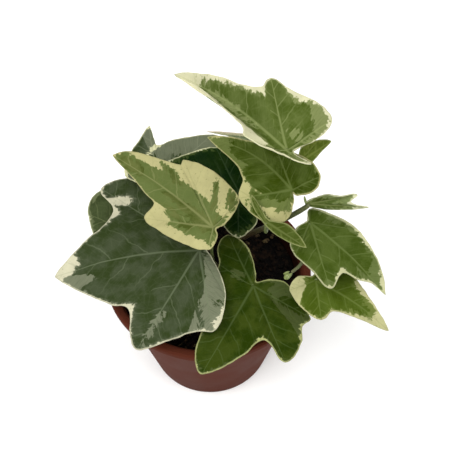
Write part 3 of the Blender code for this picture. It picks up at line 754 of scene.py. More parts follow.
            (172, 0.95), (153, 0.98), (142, 0.95), (80, 0.95), (26, 0.98), (10, 0.98), (0, 0.95),
            (-10, 0.9), (-25, 0.9), (-130, 0.9),
        ],
        "grey": [(172, 0.8), (153, 0.9), (142, 0.8), (26, 1), (0, 0.9), (-10, 0.7), (-130, 0.8)],
        "patches": [],
        "tones": ("#354010", "#3c4818", "#495423", "#7e8353", "#5f6838"),
    },
    "small_back": {
        "junction": (36, 7.5, 124), "turn": (30, 16, 46), "bow": 0.0,
        "outline": [
            ("edge", 70, 2.5, -1), ("edge", 45, 5.5, -2.5), ("lobe", 15, 11, -1.5),
            ("tip", 0, 14.5, 0), ("edge", -8, 9.6, -1), ("edge", -32, 5.6, -2),
            ("lobe", -46, 4.5, -2.5), ("sinus", 180, 1, 0),
        ],
        "cream": [(70, 1.1), (-46, 1.1), (180, 1.1)],
        "grey": [(70, 0.75), (30, 0.8), (0, 1.0), (-46, 1.0), (180, 1.1)],
        "patches": [("deep", 5, 0, 5, 1, 0)],
        "tones": ("#4a5917", "#586525", "#67712f", "#939767", "#757f3f"),
    },
    "back": {
        "junction": (22.5, 30.5, 112), "turn": (177, 12, 55), "bow": 0.0,
        "outline": [
            ("edge", 49, 3.6, 1), ("lobe", 26, 8, 0.8), ("edge", 9, 15.5, 0.3), ("tip", 0, 23, 0),
            ("notch", -28, 14.5, 1), ("lobe", -61, 12, 2), ("edge", -77, 6, 0),
            ("sinus", 180, 1.5, 0),
        ],
        "cream": [
            (49, 0.6), (26, 0.62), (0, 0.7), (-10, 0.6), (-28, 0.45), (-61, 0.3), (180, 0.5),
        ],
        "grey": [(49, 0.6), (10, 0.5), (-30, 0.5), (-61, 0.4), (180, 0.9)],
        "patches": [],
        "tones": ("#544f43", "#5e5b4a", "#827b66", "#bdb09a", "#7c7763"),
    },
    "back_left": {
        "junction": (-21, 28.5, 90.5), "turn": (102, 3, -3), "bow": 0.8,
        "outline": [
            ("lobe", 130, 7.5, 0), ("edge", 91, 9, 0), ("edge", 77, 12.5, 0), ("lobe", 66, 16.3, 0),
            ("edge", 45, 18.8, -0.3), ("edge", 26, 22.6, 0), ("edge", 12.5, 26, 0),
            ("tip", 0, 33.5, 0), ("edge", -2, 25.5, 0), ("notch", -5, 21, -0.5),
            ("edge", -25, 24, 0), ("lobe", -53, 34.5, 0), ("edge", -64, 35.5, 0),
            ("lobe", -77, 29.5, -0.5), ("edge", -91, 13, -0.5), ("sinus", 180, 2, 0),
        ],
        "cream": [
            (130, 0.95), (91, 0.95), (66, 0.85), (45, 0.95), (26, 0.98), (3, 0.97), (0, 0.94),
            (-3, 0.86), (-7, 0.88), (-12, 0.98), (-40, 0.99), (-64, 0.985), (-91, 0.96), (180, 0.9),
        ],
        "grey": [
            (130, 0.9), (66, 0.95), (26, 1.1), (9, 1), (7, 0.62), (0, 0.5), (-4, 0.4), (-10, 0.35),
            (-30, 0.35), (-50, 0.4), (-60, 0.6), (-77, 0.9), (180, 0.95),
        ],
        "patches": [("cream", 19, 0, 4.5, 2.2, -40), ("green", 8, -14, 3, 8, -20)],
        # The greyish tones here are partly the leaf's own colour and partly painted sheen.
        "tones": ("#242f10", "#3a422e", "#5f644f", "#bdbc95", "#70755e"),
    },
    "dark_centre": {
        "junction": (13, 21, 91), "turn": (166, 10, -24), "bow": 0.0,
        "outline": [
            ("lobe", 142, 14.5, -1), ("edge", 120, 18, -1.5), ("lobe", 107, 20, -1),
            ("edge", 92, 17.5, -2), ("notch", 58, 13.5, -1), ("lobe", 21, 24, 2),
            ("notch", 11, 28.5, 1.5), ("tip", 0, 36, 0), ("edge", -10, 32.5, -2),
            ("edge", -24, 27.5, -2), ("lobe", -48, 23, -1.5), ("edge", -76, 18.5, -1),
            ("edge", -101, 11, 0), ("sinus", 180, 2, 0),
        ],
        "cream": [
            (142, 0.93), (130, 0.96), (107, 0.95), (92, 0.97), (58, 0.98), (0, 0.97), (-24, 0.97),
            (-38, 0.95), (-48, 0.975), (-76, 0.97), (-101, 0.96), (180, 0.95),
        ],
        "grey": [
            (142, 0.86), (120, 0.88), (107, 0.88), (92, 0.95), (0, 0.96), (-8, 0.9), (-16, 0.94),
            (-30, 0.97), (-45, 0.92), (-60, 1), (180, 1),
        ],
        "patches": [("grey", 32, -6.5, 2.6, 1.6, -20)],
        # The deep and fresh greens here are partly the leaf's own dark green and partly painted
        # shade, for the shade it sits in under the leaves above.
        "tones": ("#061c02", "#132505", "#36431e", "#b5b690", "#33432a"),
    },
    "left_under": {
        "junction": (-25.5, 8, 74), "turn": (148, -8, -11), "bow": 0.0,
        "outline": [
            ("lobe", 105, 14, -1), ("lobe", 59, 17, -2), ("edge", 27, 24.5, 0), ("lobe", 0, 36, 0),
            ("edge", -11, 40.5, 0), ("notch", -21, 40.5, -0.5), ("lobe", -33, 32, -0.5),
            ("edge", -50, 17, -0.5), ("lobe", -105, 14, 0), ("sinus", 180, 2, 0),
        ],
        "cream": [
            (105, 0.97), (59, 0.98), (20, 0.99), (6, 0.97), (2, 0.95), (-4, 0.985), (-33, 0.975),
            (-105, 0.96), (180, 0.95),
        ],
        "grey": [
            (105, 0.95), (20, 0.98), (8, 0.93), (2, 0.9), (-4, 0.97), (-33, 0.94), (180, 0.97),
        ],
        "patches": [],
        "tones": ("#323b20", "#3c4629", "#606748", "#abae8a", "#656e4a"),
    },
}
print("leaves:", len(LEAVES))

# %% [markdown]
# The outline is a closed smooth curve through the rows. A short handle on each side of a row makes
# it round at a lobe and pointed at a tip, as the points of a Bezier curve do in the editor.

# %%  Outline
POINTEDNESS = {"tip": 0.75, "lobe": 0.25, "notch": 0.2, "edge": 0.0, "sinus": 0.5}
HANDLE = 0.36
STEPS_PER_SPAN = 13
BLADE_RINGS = 40
LIFT_POWER = 1.6


def blade_matrix(leaf):
    """Blade plane to world: X along the midrib, Y to its left, Z out of the upper face."""
    heading, pitch, roll = (math.radians(angle) for angle in leaf["turn"])
    turn = Matrix.Rotation(heading, 4, "Z") @ Matrix.Rotation(-pitch, 4, "Y")
    turn = turn @ Matrix.Rotation(roll, 4, "X")
    return Matrix.Translation(leaf["junction"]) @ turn


def outline_points(rows, steps):
    """A closed smooth outline through the rows, as (x, y, lift), steps points for each span."""
    corners = []
    for kind, angle, radius, lift in rows:
        turn = math.radians(angle)
        corners.append(Vector((radius * math.cos(turn), radius * math.sin(turn), lift)))
    points = []
    count = len(rows)
    for index in range(count):
        before, start, end, after = (corners[(index + k) % count] for k in (-1, 0, 1, 2))
        chord = end - start
        leave = (end - before).normalized()
        arrive = (after - start).normalized()
        straight = chord.normalized()
        reach = HANDLE * chord.length
        pointed_start = POINTEDNESS[rows[index][0]]
        pointed_end = POINTEDNESS[rows[(index + 1) % count][0]]
        handle_out = start + reach * leave.lerp(straight, pointed_start)
        handle_in = end - reach * arrive.lerp(straight, pointed_end)
        for step in range(steps):
            t = step / steps
            u = 1 - t
            points.append(
                u**3 * start + 3 * u * u * t * handle_out + 3 * u * t * t * handle_in + t**3 * end
            )
    return points


# %% [markdown]
# ### Where the veins and the tones lie
# Between two lobes the blade belongs to one vein or to the other, and the notch is the border. Each
# face is measured from its own vein: how far along it, and how far to one side. Side veins then
# leave the main one as chevrons, a steady step apart. The two measures are stored in a UV map,
# because a UV map may jump from face to face, so the veins stay sharp right up to the border.
#
# Each point also stores four numbers for its tones: how many millimetres it lies inside the cream
# and inside the grey, how deep its green is, and how far it lies in from the margin. A patch pushes
# the first three up or down.

# %%  Veins and tones
VEINS_PER_LENGTH = 4.2
CHEVRON_SLOPE = 0.95


def vein_sectors(rows, rim):
    """The main veins as (spoke, tip, step between side veins, is it the midrib), and the number
    of the vein that owns each spoke."""
    steps = STEPS_PER_SPAN
    count = len(rim)
    veins = []
    for index, (kind, _, radius, _) in enumerate(rows):
        if kind in ("tip", "lobe"):
            gap = max(radius, 10.0) / VEINS_PER_LENGTH
            veins.append((index * steps, rim[index * steps].xy, gap, kind == "tip"))
    owner = [0] * count
    for number, vein in enumerate(veins):
        after = veins[(number + 1) % len(veins)]
        span = (after[0] - vein[0]) % count or count
        spokes = [(vein[0] + step) % count for step in range(span)]
        reach = [rim[spoke].xy.length for spoke in spokes]
        border = reach.index(min(reach[1:-1] or reach))
        for step, spoke in enumerate(spokes):
            owner[spoke] = number if step < border else (number + 1) % len(veins)
    return veins, owner


def by_angle(table, angle):
    """The value of a table of (angle, value) at an angle, going round."""
    rows = sorted((row[0] % 360, row[1]) for row in table)
    rows = [(rows[-1][0] - 360, rows[-1][1])] + rows + [(rows[0][0] + 360, rows[0][1])]
    angle %= 360
    for (low, start), (high, end) in zip(rows, rows[1:]):
        if low <= angle <= high:
            share = (angle - low) / max(high - low, 1e-6)
            return start + (end - start) * share
    return rows[0][1]


def patch_depth(point, patch):
    """Millimetres inside an oval patch; less than nothing outside it."""
    _, x, y, length, width, turn = patch
    local = Matrix.Rotation(-math.radians(turn), 2) @ (point - Vector((x, y)))
    oval = math.hypot(local.x / length, local.y / width)
    return (1 - oval) * min(length, width)


def tone_depths(leaf, point, share, angle, reach):
    """Millimetres inside the cream and the grey, depth of green, and millimetres to the margin."""
    cream = (share - by_angle(leaf["cream"], angle)) * reach
    grey = (share - by_angle(leaf["grey"], angle)) * reach
    deep = 0.0
    for patch in leaf["patches"]:
        depth = patch_depth(point, patch)
        if patch[0] == "cream":
            cream = max(cream, depth)
        elif patch[0] == "grey":
            grey = max(grey, depth)
        else:
            cream = min(cream, -depth)
            grey = min(grey, -depth)
            shade = max(0.0, min(1.0, depth))
            deep += shade if patch[0] == "deep" else -shade if patch[0] == "fresh" else 0.0
    return cream, grey, deep, (1 - share) * reach


# %% [markdown]
# ### The blade
# The crease along each vein is about 0.4 mm deep and four wide, the side veins press in less, the
# blade puffs up unevenly between them, and the margin ripples. All of it is real height in the
# mesh, so it catches the light at any angle. The sheet gets its thickness from a Solidify modifier,
# which also gives the underside its own finish: an ivy leaf is paler and duller underneath.

# %%  Blade shape
BLADE_THICKNESS = 0.42
CREASE_DEPTH = 0.42
CREASE_WIDTH = 2.0
SIDE_CREASE_DEPTH = 0.14
SIDE_CREASE_WIDTH = 1.1
PUFF = 0.5
PUFF_SIZE = 9.0
RIPPLE = 0.45
RIPPLE_COUNT = 9
RIPPLE_SIZE = 3.2
FULL_LENGTH = 45
TONE_LAYERS = ("cream", "grey", "deep", "margin")
MARGIN_NIBBLE = 0.22


def side_vein_distance(along, across, gap):
    """Distance to the nearest side vein, as a share of the step between them, 0 on the vein."""
    phase = along / gap - CHEVRON_SLOPE * abs(across) / gap + (0.5 if across < 0 else 0.0)
    return abs(phase - round(phase))


def blade_height(leaf, point, share, along, across, gap, seed):
    """Crease, puff and ripple of the blade above its smooth surface, in millimetres."""
    size = min(1.0, max(row[2] for row in leaf["outline"]) / FULL_LENGTH)
    near_vein = math.exp(-((across / (CREASE_WIDTH * size)) ** 2))
    height = -CREASE_DEPTH * size * near_vein
    side = side_vein_distance(along, across, gap) * gap
    start = min(1.0, share * 3)
    near_side_vein = math.exp(-((side / (SIDE_CREASE_WIDTH * size)) ** 2))
    height -= SIDE_CREASE_DEPTH * size * near_side_vein * start
    spot = Vector((point.x / PUFF_SIZE, point.y / PUFF_SIZE, seed))
    height += PUFF * size * noise.noise(spot) * start
    angle = math.atan2(point.y, point.x)
    height += RIPPLE * size * share**4 * math.sin(RIPPLE_COUNT * angle + seed) * 0.6
    spot = Vector((point.x / RIPPLE_SIZE, point.y / RIPPLE_SIZE, seed))
    height += RIPPLE * size * share**6 * noise.noise(spot)
    return height * min(1.0, share * 4)


def make_blade(leaf, seed):
    """A spun disc of spokes and rings, pulled out to the leaf's outline, with its maps."""
    rows = leaf["outline"]
    rim = outline_points(rows, STEPS_PER_SPAN)
    count = len(rim)
    veins, owner = vein_sectors(rows, rim)
    place = blade_matrix(leaf)
    bm = bmesh.new()
    row = [bm.verts.new((ring / BLADE_RINGS, 0, 0)) for ring in range(BLADE_RINGS + 1)]
    for first, second in zip(row, row[1:]):
        bm.edges.new((first, second))
    bmesh.ops.spin(
        bm, geom=bm.verts[:] + bm.edges[:], cent=(0, 0, 0), axis=(0, 0, 1),
        angle=math.tau, steps=count, use_merge=True,
    )
    bmesh.ops.remove_doubles(bm, verts=bm.verts, dist=1e-5)
    plane_map = bm.loops.layers.uv.new("plane")
    vein_map = bm.loops.layers.uv.new("veins")
    step_layer = bm.faces.layers.float.new("step")
    layers = [bm.verts.layers.float.new(name) for name in TONE_LAYERS]
    spoke_of, plane_of = {}, {}

    def measure(point, number):
        """Along and across the vein, with the midrib bowed sideways."""
        _, tip, gap, is_tip = veins[number]
        length = max(tip.length, 1.0)
        along = point.dot(tip) / length
        across = (tip.x * point.y - tip.y * point.x) / length
        if is_tip and 0 < along < length:
            across -= leaf["bow"] * math.sin(math.pi * along / length)
        return along, across, gap

    for vert in bm.verts:
        share = min(vert.co.xy.length, 1.0)
        spoke = round(math.atan2(vert.co.y, vert.co.x) / math.tau * count) % count
        edge = rim[spoke]
        rim_radius = edge.xy.length
        nibble = noise.noise(Vector((edge.x / 1.9, edge.y / 1.9, seed * 3.1)))
        reach = share * (1 + MARGIN_NIBBLE * nibble * share**8 / max(rim_radius, 5))
        point = Vector((edge.x * reach, edge.y * reach))
        spoke_of[vert] = spoke if share > 1e-4 else -1
        plane_of[vert] = point
        angle = math.degrees(math.atan2(edge.y, edge.x))
        along_rim = (rim[(spoke + 1) % count] - rim[spoke - 1]).xy.normalized()
        square = abs(along_rim.cross(edge.xy.normalized()))
        for layer, depth in zip(layers, tone_depths(
                leaf, point, share, angle, rim_radius * max(square, 0.35))):
            vert[layer] = depth
        sides = {owner[spoke], owner[spoke - 1]}
        along, across, gap = min((measure(point, side) for side in sides), key=lambda m: abs(m[1]))
        lift = edge.z * share**LIFT_POWER
        height = blade_height(leaf, point, share, along, across, gap, seed)
        vert.co = place @ Vector((point.x, point.y, lift + height)) * MM
    for face in bm.faces:
        spokes = {spoke_of[vert] for vert in face.verts} - {-1}
        low = next(spoke for spoke in spokes if (spoke + 1) % count in spokes)
        number = owner[low]
        face[step_layer] = veins[number][2]
        for loop in face.loops:
            point = plane_of[loop.vert]
            along, across, _ = measure(point, number)
            loop[vein_map].uv = (along, across)
            loop[plane_map].uv = (point.x + 100 * seed, point.y)
    up = place.to_3x3() @ Vector((0, 0, 1))
    bm.normal_update()
    if sum(face.normal.dot(up) * face.calc_area() for face in bm.faces) < 0:
        bmesh.ops.reverse_faces(bm, faces=bm.faces)
    return bm


# %% [markdown]
# ### The leaf's skin
# The upper face wears a thin natural wax, but its own shine is set very faint, so it shows no
# glints;
# the broad sheen it has in places is painted into the grey tone instead. Its colours come in
# layers:
# green that is deeper in places, partly the leaf's own and partly painted shade; grey blocks whose
# ragged borders follow the side veins, partly the leaf's own grey-green and partly painted sheen;
# cream where there is no green at all; and the pale veins on top. The borders are made ragged by
# pushing the stored depths about with two patterns: a grain of 1.4 mm, and blocks of 1.5 mm between
# side veins, which jump from one to the next. A half tone lies between green and cream, and a pale
# line half a millimetre wide runs all round the margin.

# %%  Upper skin
GRAIN = 1.4
TOOTH = 1.5
TOOTH_STRETCH = 0.35
MOTTLE = 7.0
NET = 3.4
STREAK = 0.55
STREAK_STRETCH = 0.15
SPECK = 1.0
FINE_GRAIN = 0.45
RAGGED = 3.4
CREAM_TOOTH = 1.3
GREY_TOOTH = 2.4
MARGIN_SHRINK = 0.7
EDGE_LINE = 0.75
HALF_TONE = 0.5
MAIN_VEIN_WIDTH = 0.42
SIDE_VEIN_WIDTH = 0.17
TWIG_WIDTH = 0.1
MAIN_VEIN_SHOW = 0.52
SIDE_VEIN_SHOW = 0.34
NET_SHOW = 0.07


def vein_line(tree, distance, width, softness):
    """1 on a line, 0 beside it."""
    return calculate(tree, "SUBTRACT", 1.0, ramp(tree, distance, width, width * softness))


def tone_masks(tree, parts, outward, grain, cream_depth, grey_and_sheen_depth, margin):
    """How much of a place is cream, half tone and grey, with ragged borders."""
    tooth_place = add_node(tree, "ShaderNodeCombineXYZ", {
        "X": outward, "Y": calculate(tree, "MULTIPLY", parts["Y"], TOOTH_STRETCH)}).outputs[0]
    teeth = add_node(tree, "ShaderNodeTexVoronoi", {"Vector": tooth_place, "Scale": 1 / TOOTH})
    tooth = add_node(tree, "ShaderNodeSeparateColor", {"Color": teeth.outputs["Color"]}).outputs
    ragged = calculate(tree, "MULTIPLY_ADD", grain, RAGGED, -RAGGED / 2)
    cream_tooth = calculate(
        tree, "MULTIPLY_ADD", tooth[0], CREAM_TOOTH, -CREAM_TOOTH / 2 - MARGIN_SHRINK)
    cream_push = calculate(tree, "ADD", ragged, cream_tooth)
    cream_place = calculate(tree, "ADD", cream_depth, cream_push)
    edge = calculate(tree, "MULTIPLY_ADD", grain, 0.7, margin)
    edge = calculate(tree, "MULTIPLY", ramp(tree, edge, 0.95, 0.6), EDGE_LINE)
    cream_mask = calculate(tree, "MAXIMUM", ramp(tree, cream_place, -0.2, 0.2), edge)
    half_tone = calculate(tree, "MULTIPLY", ramp(tree, cream_place, -1.3, -0.3), HALF_TONE)
    grey_tooth = calculate(tree, "MULTIPLY_ADD", tooth[1], GREY_TOOTH, -GREY_TOOTH / 2)
    grey_push = calculate(tree, "ADD", ragged, grey_tooth)
    grey_and_sheen_mask = ramp(tree, calculate(tree, "ADD", grey_and_sheen_depth, grey_push), -0.3, 0.3)
    return cream_mask, half_tone, grey_and_sheen_mask


def vein_lines(tree, plane, parts, across, outward, step, mottle):
    """The pale lines on a blade: its main veins, its side veins and the fine net between them."""
    wander = calculate(tree, "MULTIPLY_ADD", mottle, 0.5, -0.25)
    other_side = calculate(tree, "MULTIPLY", calculate(tree, "LESS_THAN", parts["Y"], 0.0), 0.5)
    phase = calculate(tree, "ADD", calculate(tree, "DIVIDE", outward, step), wander)
    phase = calculate(tree, "PINGPONG", calculate(tree, "ADD", phase, other_side), 0.5)
    side_line = vein_line(tree, calculate(tree, "MULTIPLY", phase, step), SIDE_VEIN_WIDTH, 2.6)
    steps_out = calculate(tree, "DIVIDE", parts["X"], step)
    begun = ramp(tree, steps_out, 0.5, 1.0)
    fading = calculate(tree, "SUBTRACT", 1.0, ramp(
        tree, calculate(tree, "DIVIDE", across, step), 0.3, 1.6))
    side_line = calculate(tree, "MULTIPLY", side_line, calculate(tree, "MULTIPLY", begun, fading))
    taper = calculate(tree, "SUBTRACT", 1.0, ramp(tree, steps_out, 0.0, VEINS_PER_LENGTH * 1.1))
    width = calculate(tree, "MULTIPLY_ADD", taper, MAIN_VEIN_WIDTH - TWIG_WIDTH, TWIG_WIDTH)
    main_line = calculate(tree, "SUBTRACT", 1.0, ramp(
        tree, calculate(tree, "DIVIDE", across, width), 0.4, 1.9))
    net = add_node(tree, "ShaderNodeTexVoronoi", {
        "Vector": plane, "Scale": 1 / NET}, feature="DISTANCE_TO_EDGE").outputs["Distance"]
    net_line = calculate(tree, "MULTIPLY", vein_line(tree, net, 0.02, 3.0), NET_SHOW)
    lines = calculate(tree, "MAXIMUM", calculate(tree, "MULTIPLY", main_line, MAIN_VEIN_SHOW),
                      calculate(tree, "MULTIPLY", side_line, SIDE_VEIN_SHOW))
    return calculate(tree, "MAXIMUM", lines, net_line)


def upper_skin(name, tones):
    """The waxy upper skin of one leaf in its five tones: deep, fresh, grey, cream and vein."""
    deep, fresh, grey, cream, vein = (linear(tone) for tone in tones)
    material, tree, shader = new_material("waxed_ivy_skin_" + name)
    plane, veins = (
        add_node(tree, "ShaderNodeUVMap", uv_map=kind).outputs[0] for kind in ("plane", "veins"))
    cream_depth, grey_and_sheen_depth, deep_and_shade_depth, margin, step = (
        add_node(tree, "ShaderNodeAttribute", attribute_name=kind).outputs["Fac"]
        for kind in TONE_LAYERS + ("step",)
    )
    parts = add_node(tree, "ShaderNodeSeparateXYZ", {"Vector": veins}).outputs
    across = calculate(tree, "ABSOLUTE", parts["Y"])
    outward = calculate(tree, "MULTIPLY_ADD", across, -CHEVRON_SLOPE, parts["X"])
    grain = noise_value(tree, plane, GRAIN, 3, roughness=0.65)
    mottle = noise_value(tree, plane, MOTTLE, 4)
    streak_place = add_node(tree, "ShaderNodeCombineXYZ", {
        "X": outward, "Y": calculate(tree, "MULTIPLY", parts["Y"], STREAK_STRETCH)}).outputs[0]
    streak = noise_value(tree, streak_place, STREAK, 2)
    cream_mask, half_tone, grey_and_sheen_mask = tone_masks(
        tree, parts, outward, grain, cream_depth, grey_and_sheen_depth, margin)
    lines = vein_lines(tree, plane, parts, across, outward, step, mottle)

    # Deep patches darken the green partly as the leaf's own darker green and partly as painted
    # shade, as in the shaded middles of the large and front leaves.
    shade = calculate(tree, "ADD", ramp(tree, mottle, 0.35, 0.65),
                      calculate(tree, "MULTIPLY", deep_and_shade_depth, -0.6))
    streaks = calculate(tree, "MULTIPLY_ADD", streak, 1.4, -0.7)
    green = blend_colours(tree, calculate(tree, "ADD", shade, streaks, clamp=True), deep, fresh)
    fleck = calculate(tree, "MULTIPLY", ramp(tree, streak, 0.45, 0.7), 0.4)
    grey_and_sheen_tone = blend_colours(tree, fleck, grey, fresh)
    # The grey tone laid on here is partly the leaf's own grey-green and partly painted sheen.
    skin = blend_colours(tree, calculate(tree, "MULTIPLY", grey_and_sheen_mask, 0.85), green, grey_and_sheen_tone)
    skin = blend_colours(tree, half_tone, skin, grey)
    skin = blend_colours(tree, lines, skin, vein)

    darker_cream = [channel * 0.86 for channel in cream[:3]] + [1]
    cream_tint = blend_colours(tree, ramp(tree, mottle, 0.3, 0.7), cream, darker_cream)
    specks = noise_value(tree, plane, SPECK, 2)
    cream_tint = blend_colours(
        tree, calculate(tree, "MULTIPLY", ramp(tree, specks, 0.64, 0.72), 0.6), cream_tint, grey)
    cream_tint = blend_colours(tree, calculate(tree, "MULTIPLY", lines, 0.55), cream_tint, vein)
    skin = blend_colours(tree, cream_mask, skin, cream_tint)

    roughness = calculate(tree, "MULTIPLY_ADD", grain, 0.12, 0.4)
    feed(tree, shader, {
        "Base Color": skin, "Roughness": roughness, "IOR": 1.45, "Specular IOR Level": 0.03})
    fine = calculate(tree, "MULTIPLY", noise_value(tree, plane, FINE_GRAIN, 2), 0.35)
    add_bump(tree, shader, calculate(tree, "MULTIPLY_ADD", lines, -0.5, fine), 0.5, 0.15)
    return material


# %% [markdown]
# The underside is paler, flat in tone and matt, with the veins standing proud. One finish serves
# every leaf, because what sets leaves apart underneath is only how much cream they carry.

# %%  Lower skin
under_skin, tree, shader = new_material("matt_ivy_underside")
plane = add_node(tree, "ShaderNodeUVMap", uv_map="plane").outputs[0]
veins = add_node(tree, "ShaderNodeUVMap", uv_map="veins").outputs[0]
parts = add_node(tree, "ShaderNodeSeparateXYZ", {"Vector": veins}).outputs
main_line = vein_line(tree, calculate(tree, "ABSOLUTE", parts["Y"]), MAIN_VEIN_WIDTH, 2.2)
soft = noise_value(tree, plane, GRAIN, 4)
cream_depth = add_node(tree, "ShaderNodeAttribute", attribute_name="cream").outputs["Fac"]
ragged = calculate(tree, "MULTIPLY_ADD", soft, 2.4, -1.2)
cream_mask = ramp(tree, calculate(tree, "ADD", cream_depth, ragged), -0.2, 0.2)
colour = blend_colours(tree, soft, linear("#6f7f52"), linear("#82916a"))
colour = blend_colours(tree, cream_mask, colour, linear("#cfcba4"))
colour = blend_colours(tree, calculate(tree, "MULTIPLY", main_line, 0.7), colour, linear("#b4bb8c"))
feed(tree, shader, {"Base Color": colour, "Roughness": 0.62})
add_bump(tree, shader, calculate(tree, "ADD", main_line, soft), 0.4, 0.15)

# %%  All the blades
for number, (leaf_name, leaf) in enumerate(LEAVES.items()):
    blade = add_piece(
        leaf_name + "_leaf", make_blade(leaf, number + 1),
        [upper_skin(leaf_name, leaf["tones"]), under_skin], [leaf_name + "_blade"],
    )
    wall = blade.modifiers.new("thickness", "SOLIDIFY")
    wall.thickness = BLADE_THICKNESS * MM
    wall.offset = 0.0
    wall.use_even_offset = False
    wall.material_offset = 1
    print(leaf_name, len(blade.data.polygons), "faces on the upper skin")

# %% [markdown]
# ## Stalks and stems
# A leafstalk is a smooth green rod, a little wider where it meets the blade. A stem is rounder and
# stouter, with a swelling wherever a leafstalk leaves it, and turns from green to tan bark towards
# its foot. Both are curves with a round bevel, whose radius is set point by point, and both are
# made into a mesh at the end. The leafstalks start inside their stem and end in the blade, because
# on the plant they grow together.

# %%  Routes
# Each stem: its route in millimetres from the foot up, then its radius at the foot and at the end.
STEMS = {
    "front_stem": ([(4, 2, 57), (3.5, 1, 61), (2.8, 0.5, 66.5)], 1.4, 1.1),
    "left_stem": ([(0, 14, 57), (-4, 19, 66), (-9, 27, 75), (-12, 34.5, 81.5)], 1.4, 1.0),
    "right_stem": (
        [(15, 22, 57), (19, 20, 63), (26, 9.5, 82), (33, 1.5, 98), (39, -0.5, 106.5),
         (39.6, -0.2, 107.8)],
        1.4, 0.9),
    "back_stem": ([(24.5, 16, 77), (26.5, 17, 90), (28.5, 16, 105), (35, 10, 121)], 1.2, 0.9),
    "side_shoot": (
        [(33, 0, 93), (37, -3.5, 90), (40, -9, 88.5), (38, -13, 85.5), (34.5, -14.7, 82.3)],
        0.9, 0.6),
}
STALKS = {
    "crown": [(28.5, 18, 114), (29.5, 16, 128), (29.5, 6, 136)],
    "upper": [(28.5, 13, 103), (32, 6, 111)],
    "cream": [(2.6, 0.2, 67.8), (1.7, -2.5, 78), (1.9, -6.5, 92)],
    "large": [(0.5, 0, 65), (-1.5, -2.5, 75)],
    "front": [(5.8, -0.8, 61), (12, -9, 67)],
    "right": [(36.5, -2.5, 92.3), (39.2, -2.6, 94)],
    "lower_right": [(41.5, -7, 85.5), (44.5, -12, 80.5)],
    "young_centre": [(25, 5.5, 85), (24.2, -1.5, 93), (23.2, -8.6, 101.5)],
    "back": [(26.5, 18, 101), (25, 26, 107)],
    "back_left": [(-14, 35, 84.5), (-17.5, 31.5, 87.5)],
    "dark_centre": [(-1, 20.5, 67), (6, 23.5, 79)],
    "left_under": [(-6, 17.5, 65), (-15, 13, 69)],
}
STALK_RADIUS = 0.8
STEM_POINTS = 60
STALK_POINTS = 36


def smooth_route(points, count):
    """Evenly timed points on a smooth curve through the route's own points."""
    points = [Vector(point) for point in points]
    ends = [2 * points[0] - points[1]] + points + [2 * points[-1] - points[-2]]
    spans = len(points) - 1
    route = []
    for step in range(count):
        place = step * spans / (count - 1)
        span = min(int(place), spans - 1)
        t = place - span
        a, b, c, d = ends[span:span + 4]
        route.append(0.5 * (
            2 * b + (c - a) * t + (2 * a - 5 * b + 4 * c - d) * t**2
            + (3 * b - a - 3 * c + d) * t**3
        ))
    return route


def make_rod(route, radii):
    """A round rod along a route, as a mesh with closed ends."""
    curve = bpy.data.curves.new("rod", "CURVE")
    curve.dimensions = "3D"
    curve.bevel_depth = MM
    curve.bevel_resolution = 5
    curve.use_fill_caps = True
    spline = curve.splines.new("POLY")
    spline.points.add(len(route) - 1)
    for point, place, radius in zip(spline.points, route, radii):
        point.co = (*(place * MM), 1.0)
        point.radius = radius
    rod = bpy.data.objects.new("rod", curve)
    bpy.context.collection.objects.link(rod)
    bpy.context.view_layer.update()
    mesh = bpy.data.meshes.new_from_object(
        rod.evaluated_get(bpy.context.evaluated_depsgraph_get()))
    bpy.data.objects.remove(rod, do_unlink=True)
    return mesh


# %% [markdown]
# A young stem is green, with a skin that is slightly ridged along its length and freckled; an old
# one has dry tan bark. The bark is the same finish mixed in by height, since every stem is oldest
# at its foot. Freckles are about 0.7 mm.

# %%  Stalk and stem finishes
FRECKLE_SIZE = 0.7
BARK_DRIFT_SIZE = 6.0
BARK_DRIFT = 16.0


def rod_skin(name, young, freckle, bark, bark_top, roughness):
    """Green skin with freckles, turning to bark below a height in millimetres."""
    material, tree, shader = new_material(name)
    place = add_node(tree, "ShaderNodeTexCoord").outputs["Object"]
    spots = noise_value(tree, place, FRECKLE_SIZE * MM, 3)
    drift = noise_value(tree, place, BARK_DRIFT_SIZE * MM, 2)
    colour = blend_colours(tree, ramp(tree, spots, 0.5, 0.68), linear(young), linear(freckle))
    height = add_node(tree, "ShaderNodeSeparateXYZ", {"Vector": place}).outputs["Z"]
    height = calculate(tree, "MULTIPLY_ADD", drift, BARK_DRIFT * MM, height)
    green = ramp(tree, height, (bark_top - 12) * MM, (bark_top + 18) * MM)
    colour = blend_colours(tree, green, linear(bark), colour)
    feed(tree, shader, {"Base Color": colour, "Roughness": roughness})
    add_bump(tree, shader, spots, 0.4, 0.1)
    return material


leafstalk_skin = rod_skin("smooth_green_leafstalk", "#4f5a2c", "#6d7546", "#4f5a2c", 0, 0.55)
stem_skin = rod_skin("green_stem_with_tan_bark", "#4a5229", "#625c38", "#66553a", 78, 0.65)

# %%  All the stems
SWELLING = 0.35
SWELLING_LENGTH = 1.8
joints = [Vector(route[0]) for route in STALKS.values()]
stem_routes = {}
for stem_name, (route, foot, end) in STEMS.items():
    points = smooth_route(route, STEM_POINTS)
    if points[0].z <= SOIL_TOP:
        points = [points[0] - Vector((0, 0, 3))] + points
    radii = []
    for index, point in enumerate(points):
        share = index / (len(points) - 1)
        nearest = min((point - joint).length for joint in joints)
        swelling = SWELLING * math.exp(-((nearest / SWELLING_LENGTH) ** 2))
        uneven = 0.06 * noise.noise(point / 2.5)
        radii.append((foot + (end - foot) * share) * (1 + uneven) + swelling)
    stem_routes[stem_name] = points
    add_piece(stem_name + "_bark", make_rod(points, radii), [stem_skin], [stem_name])

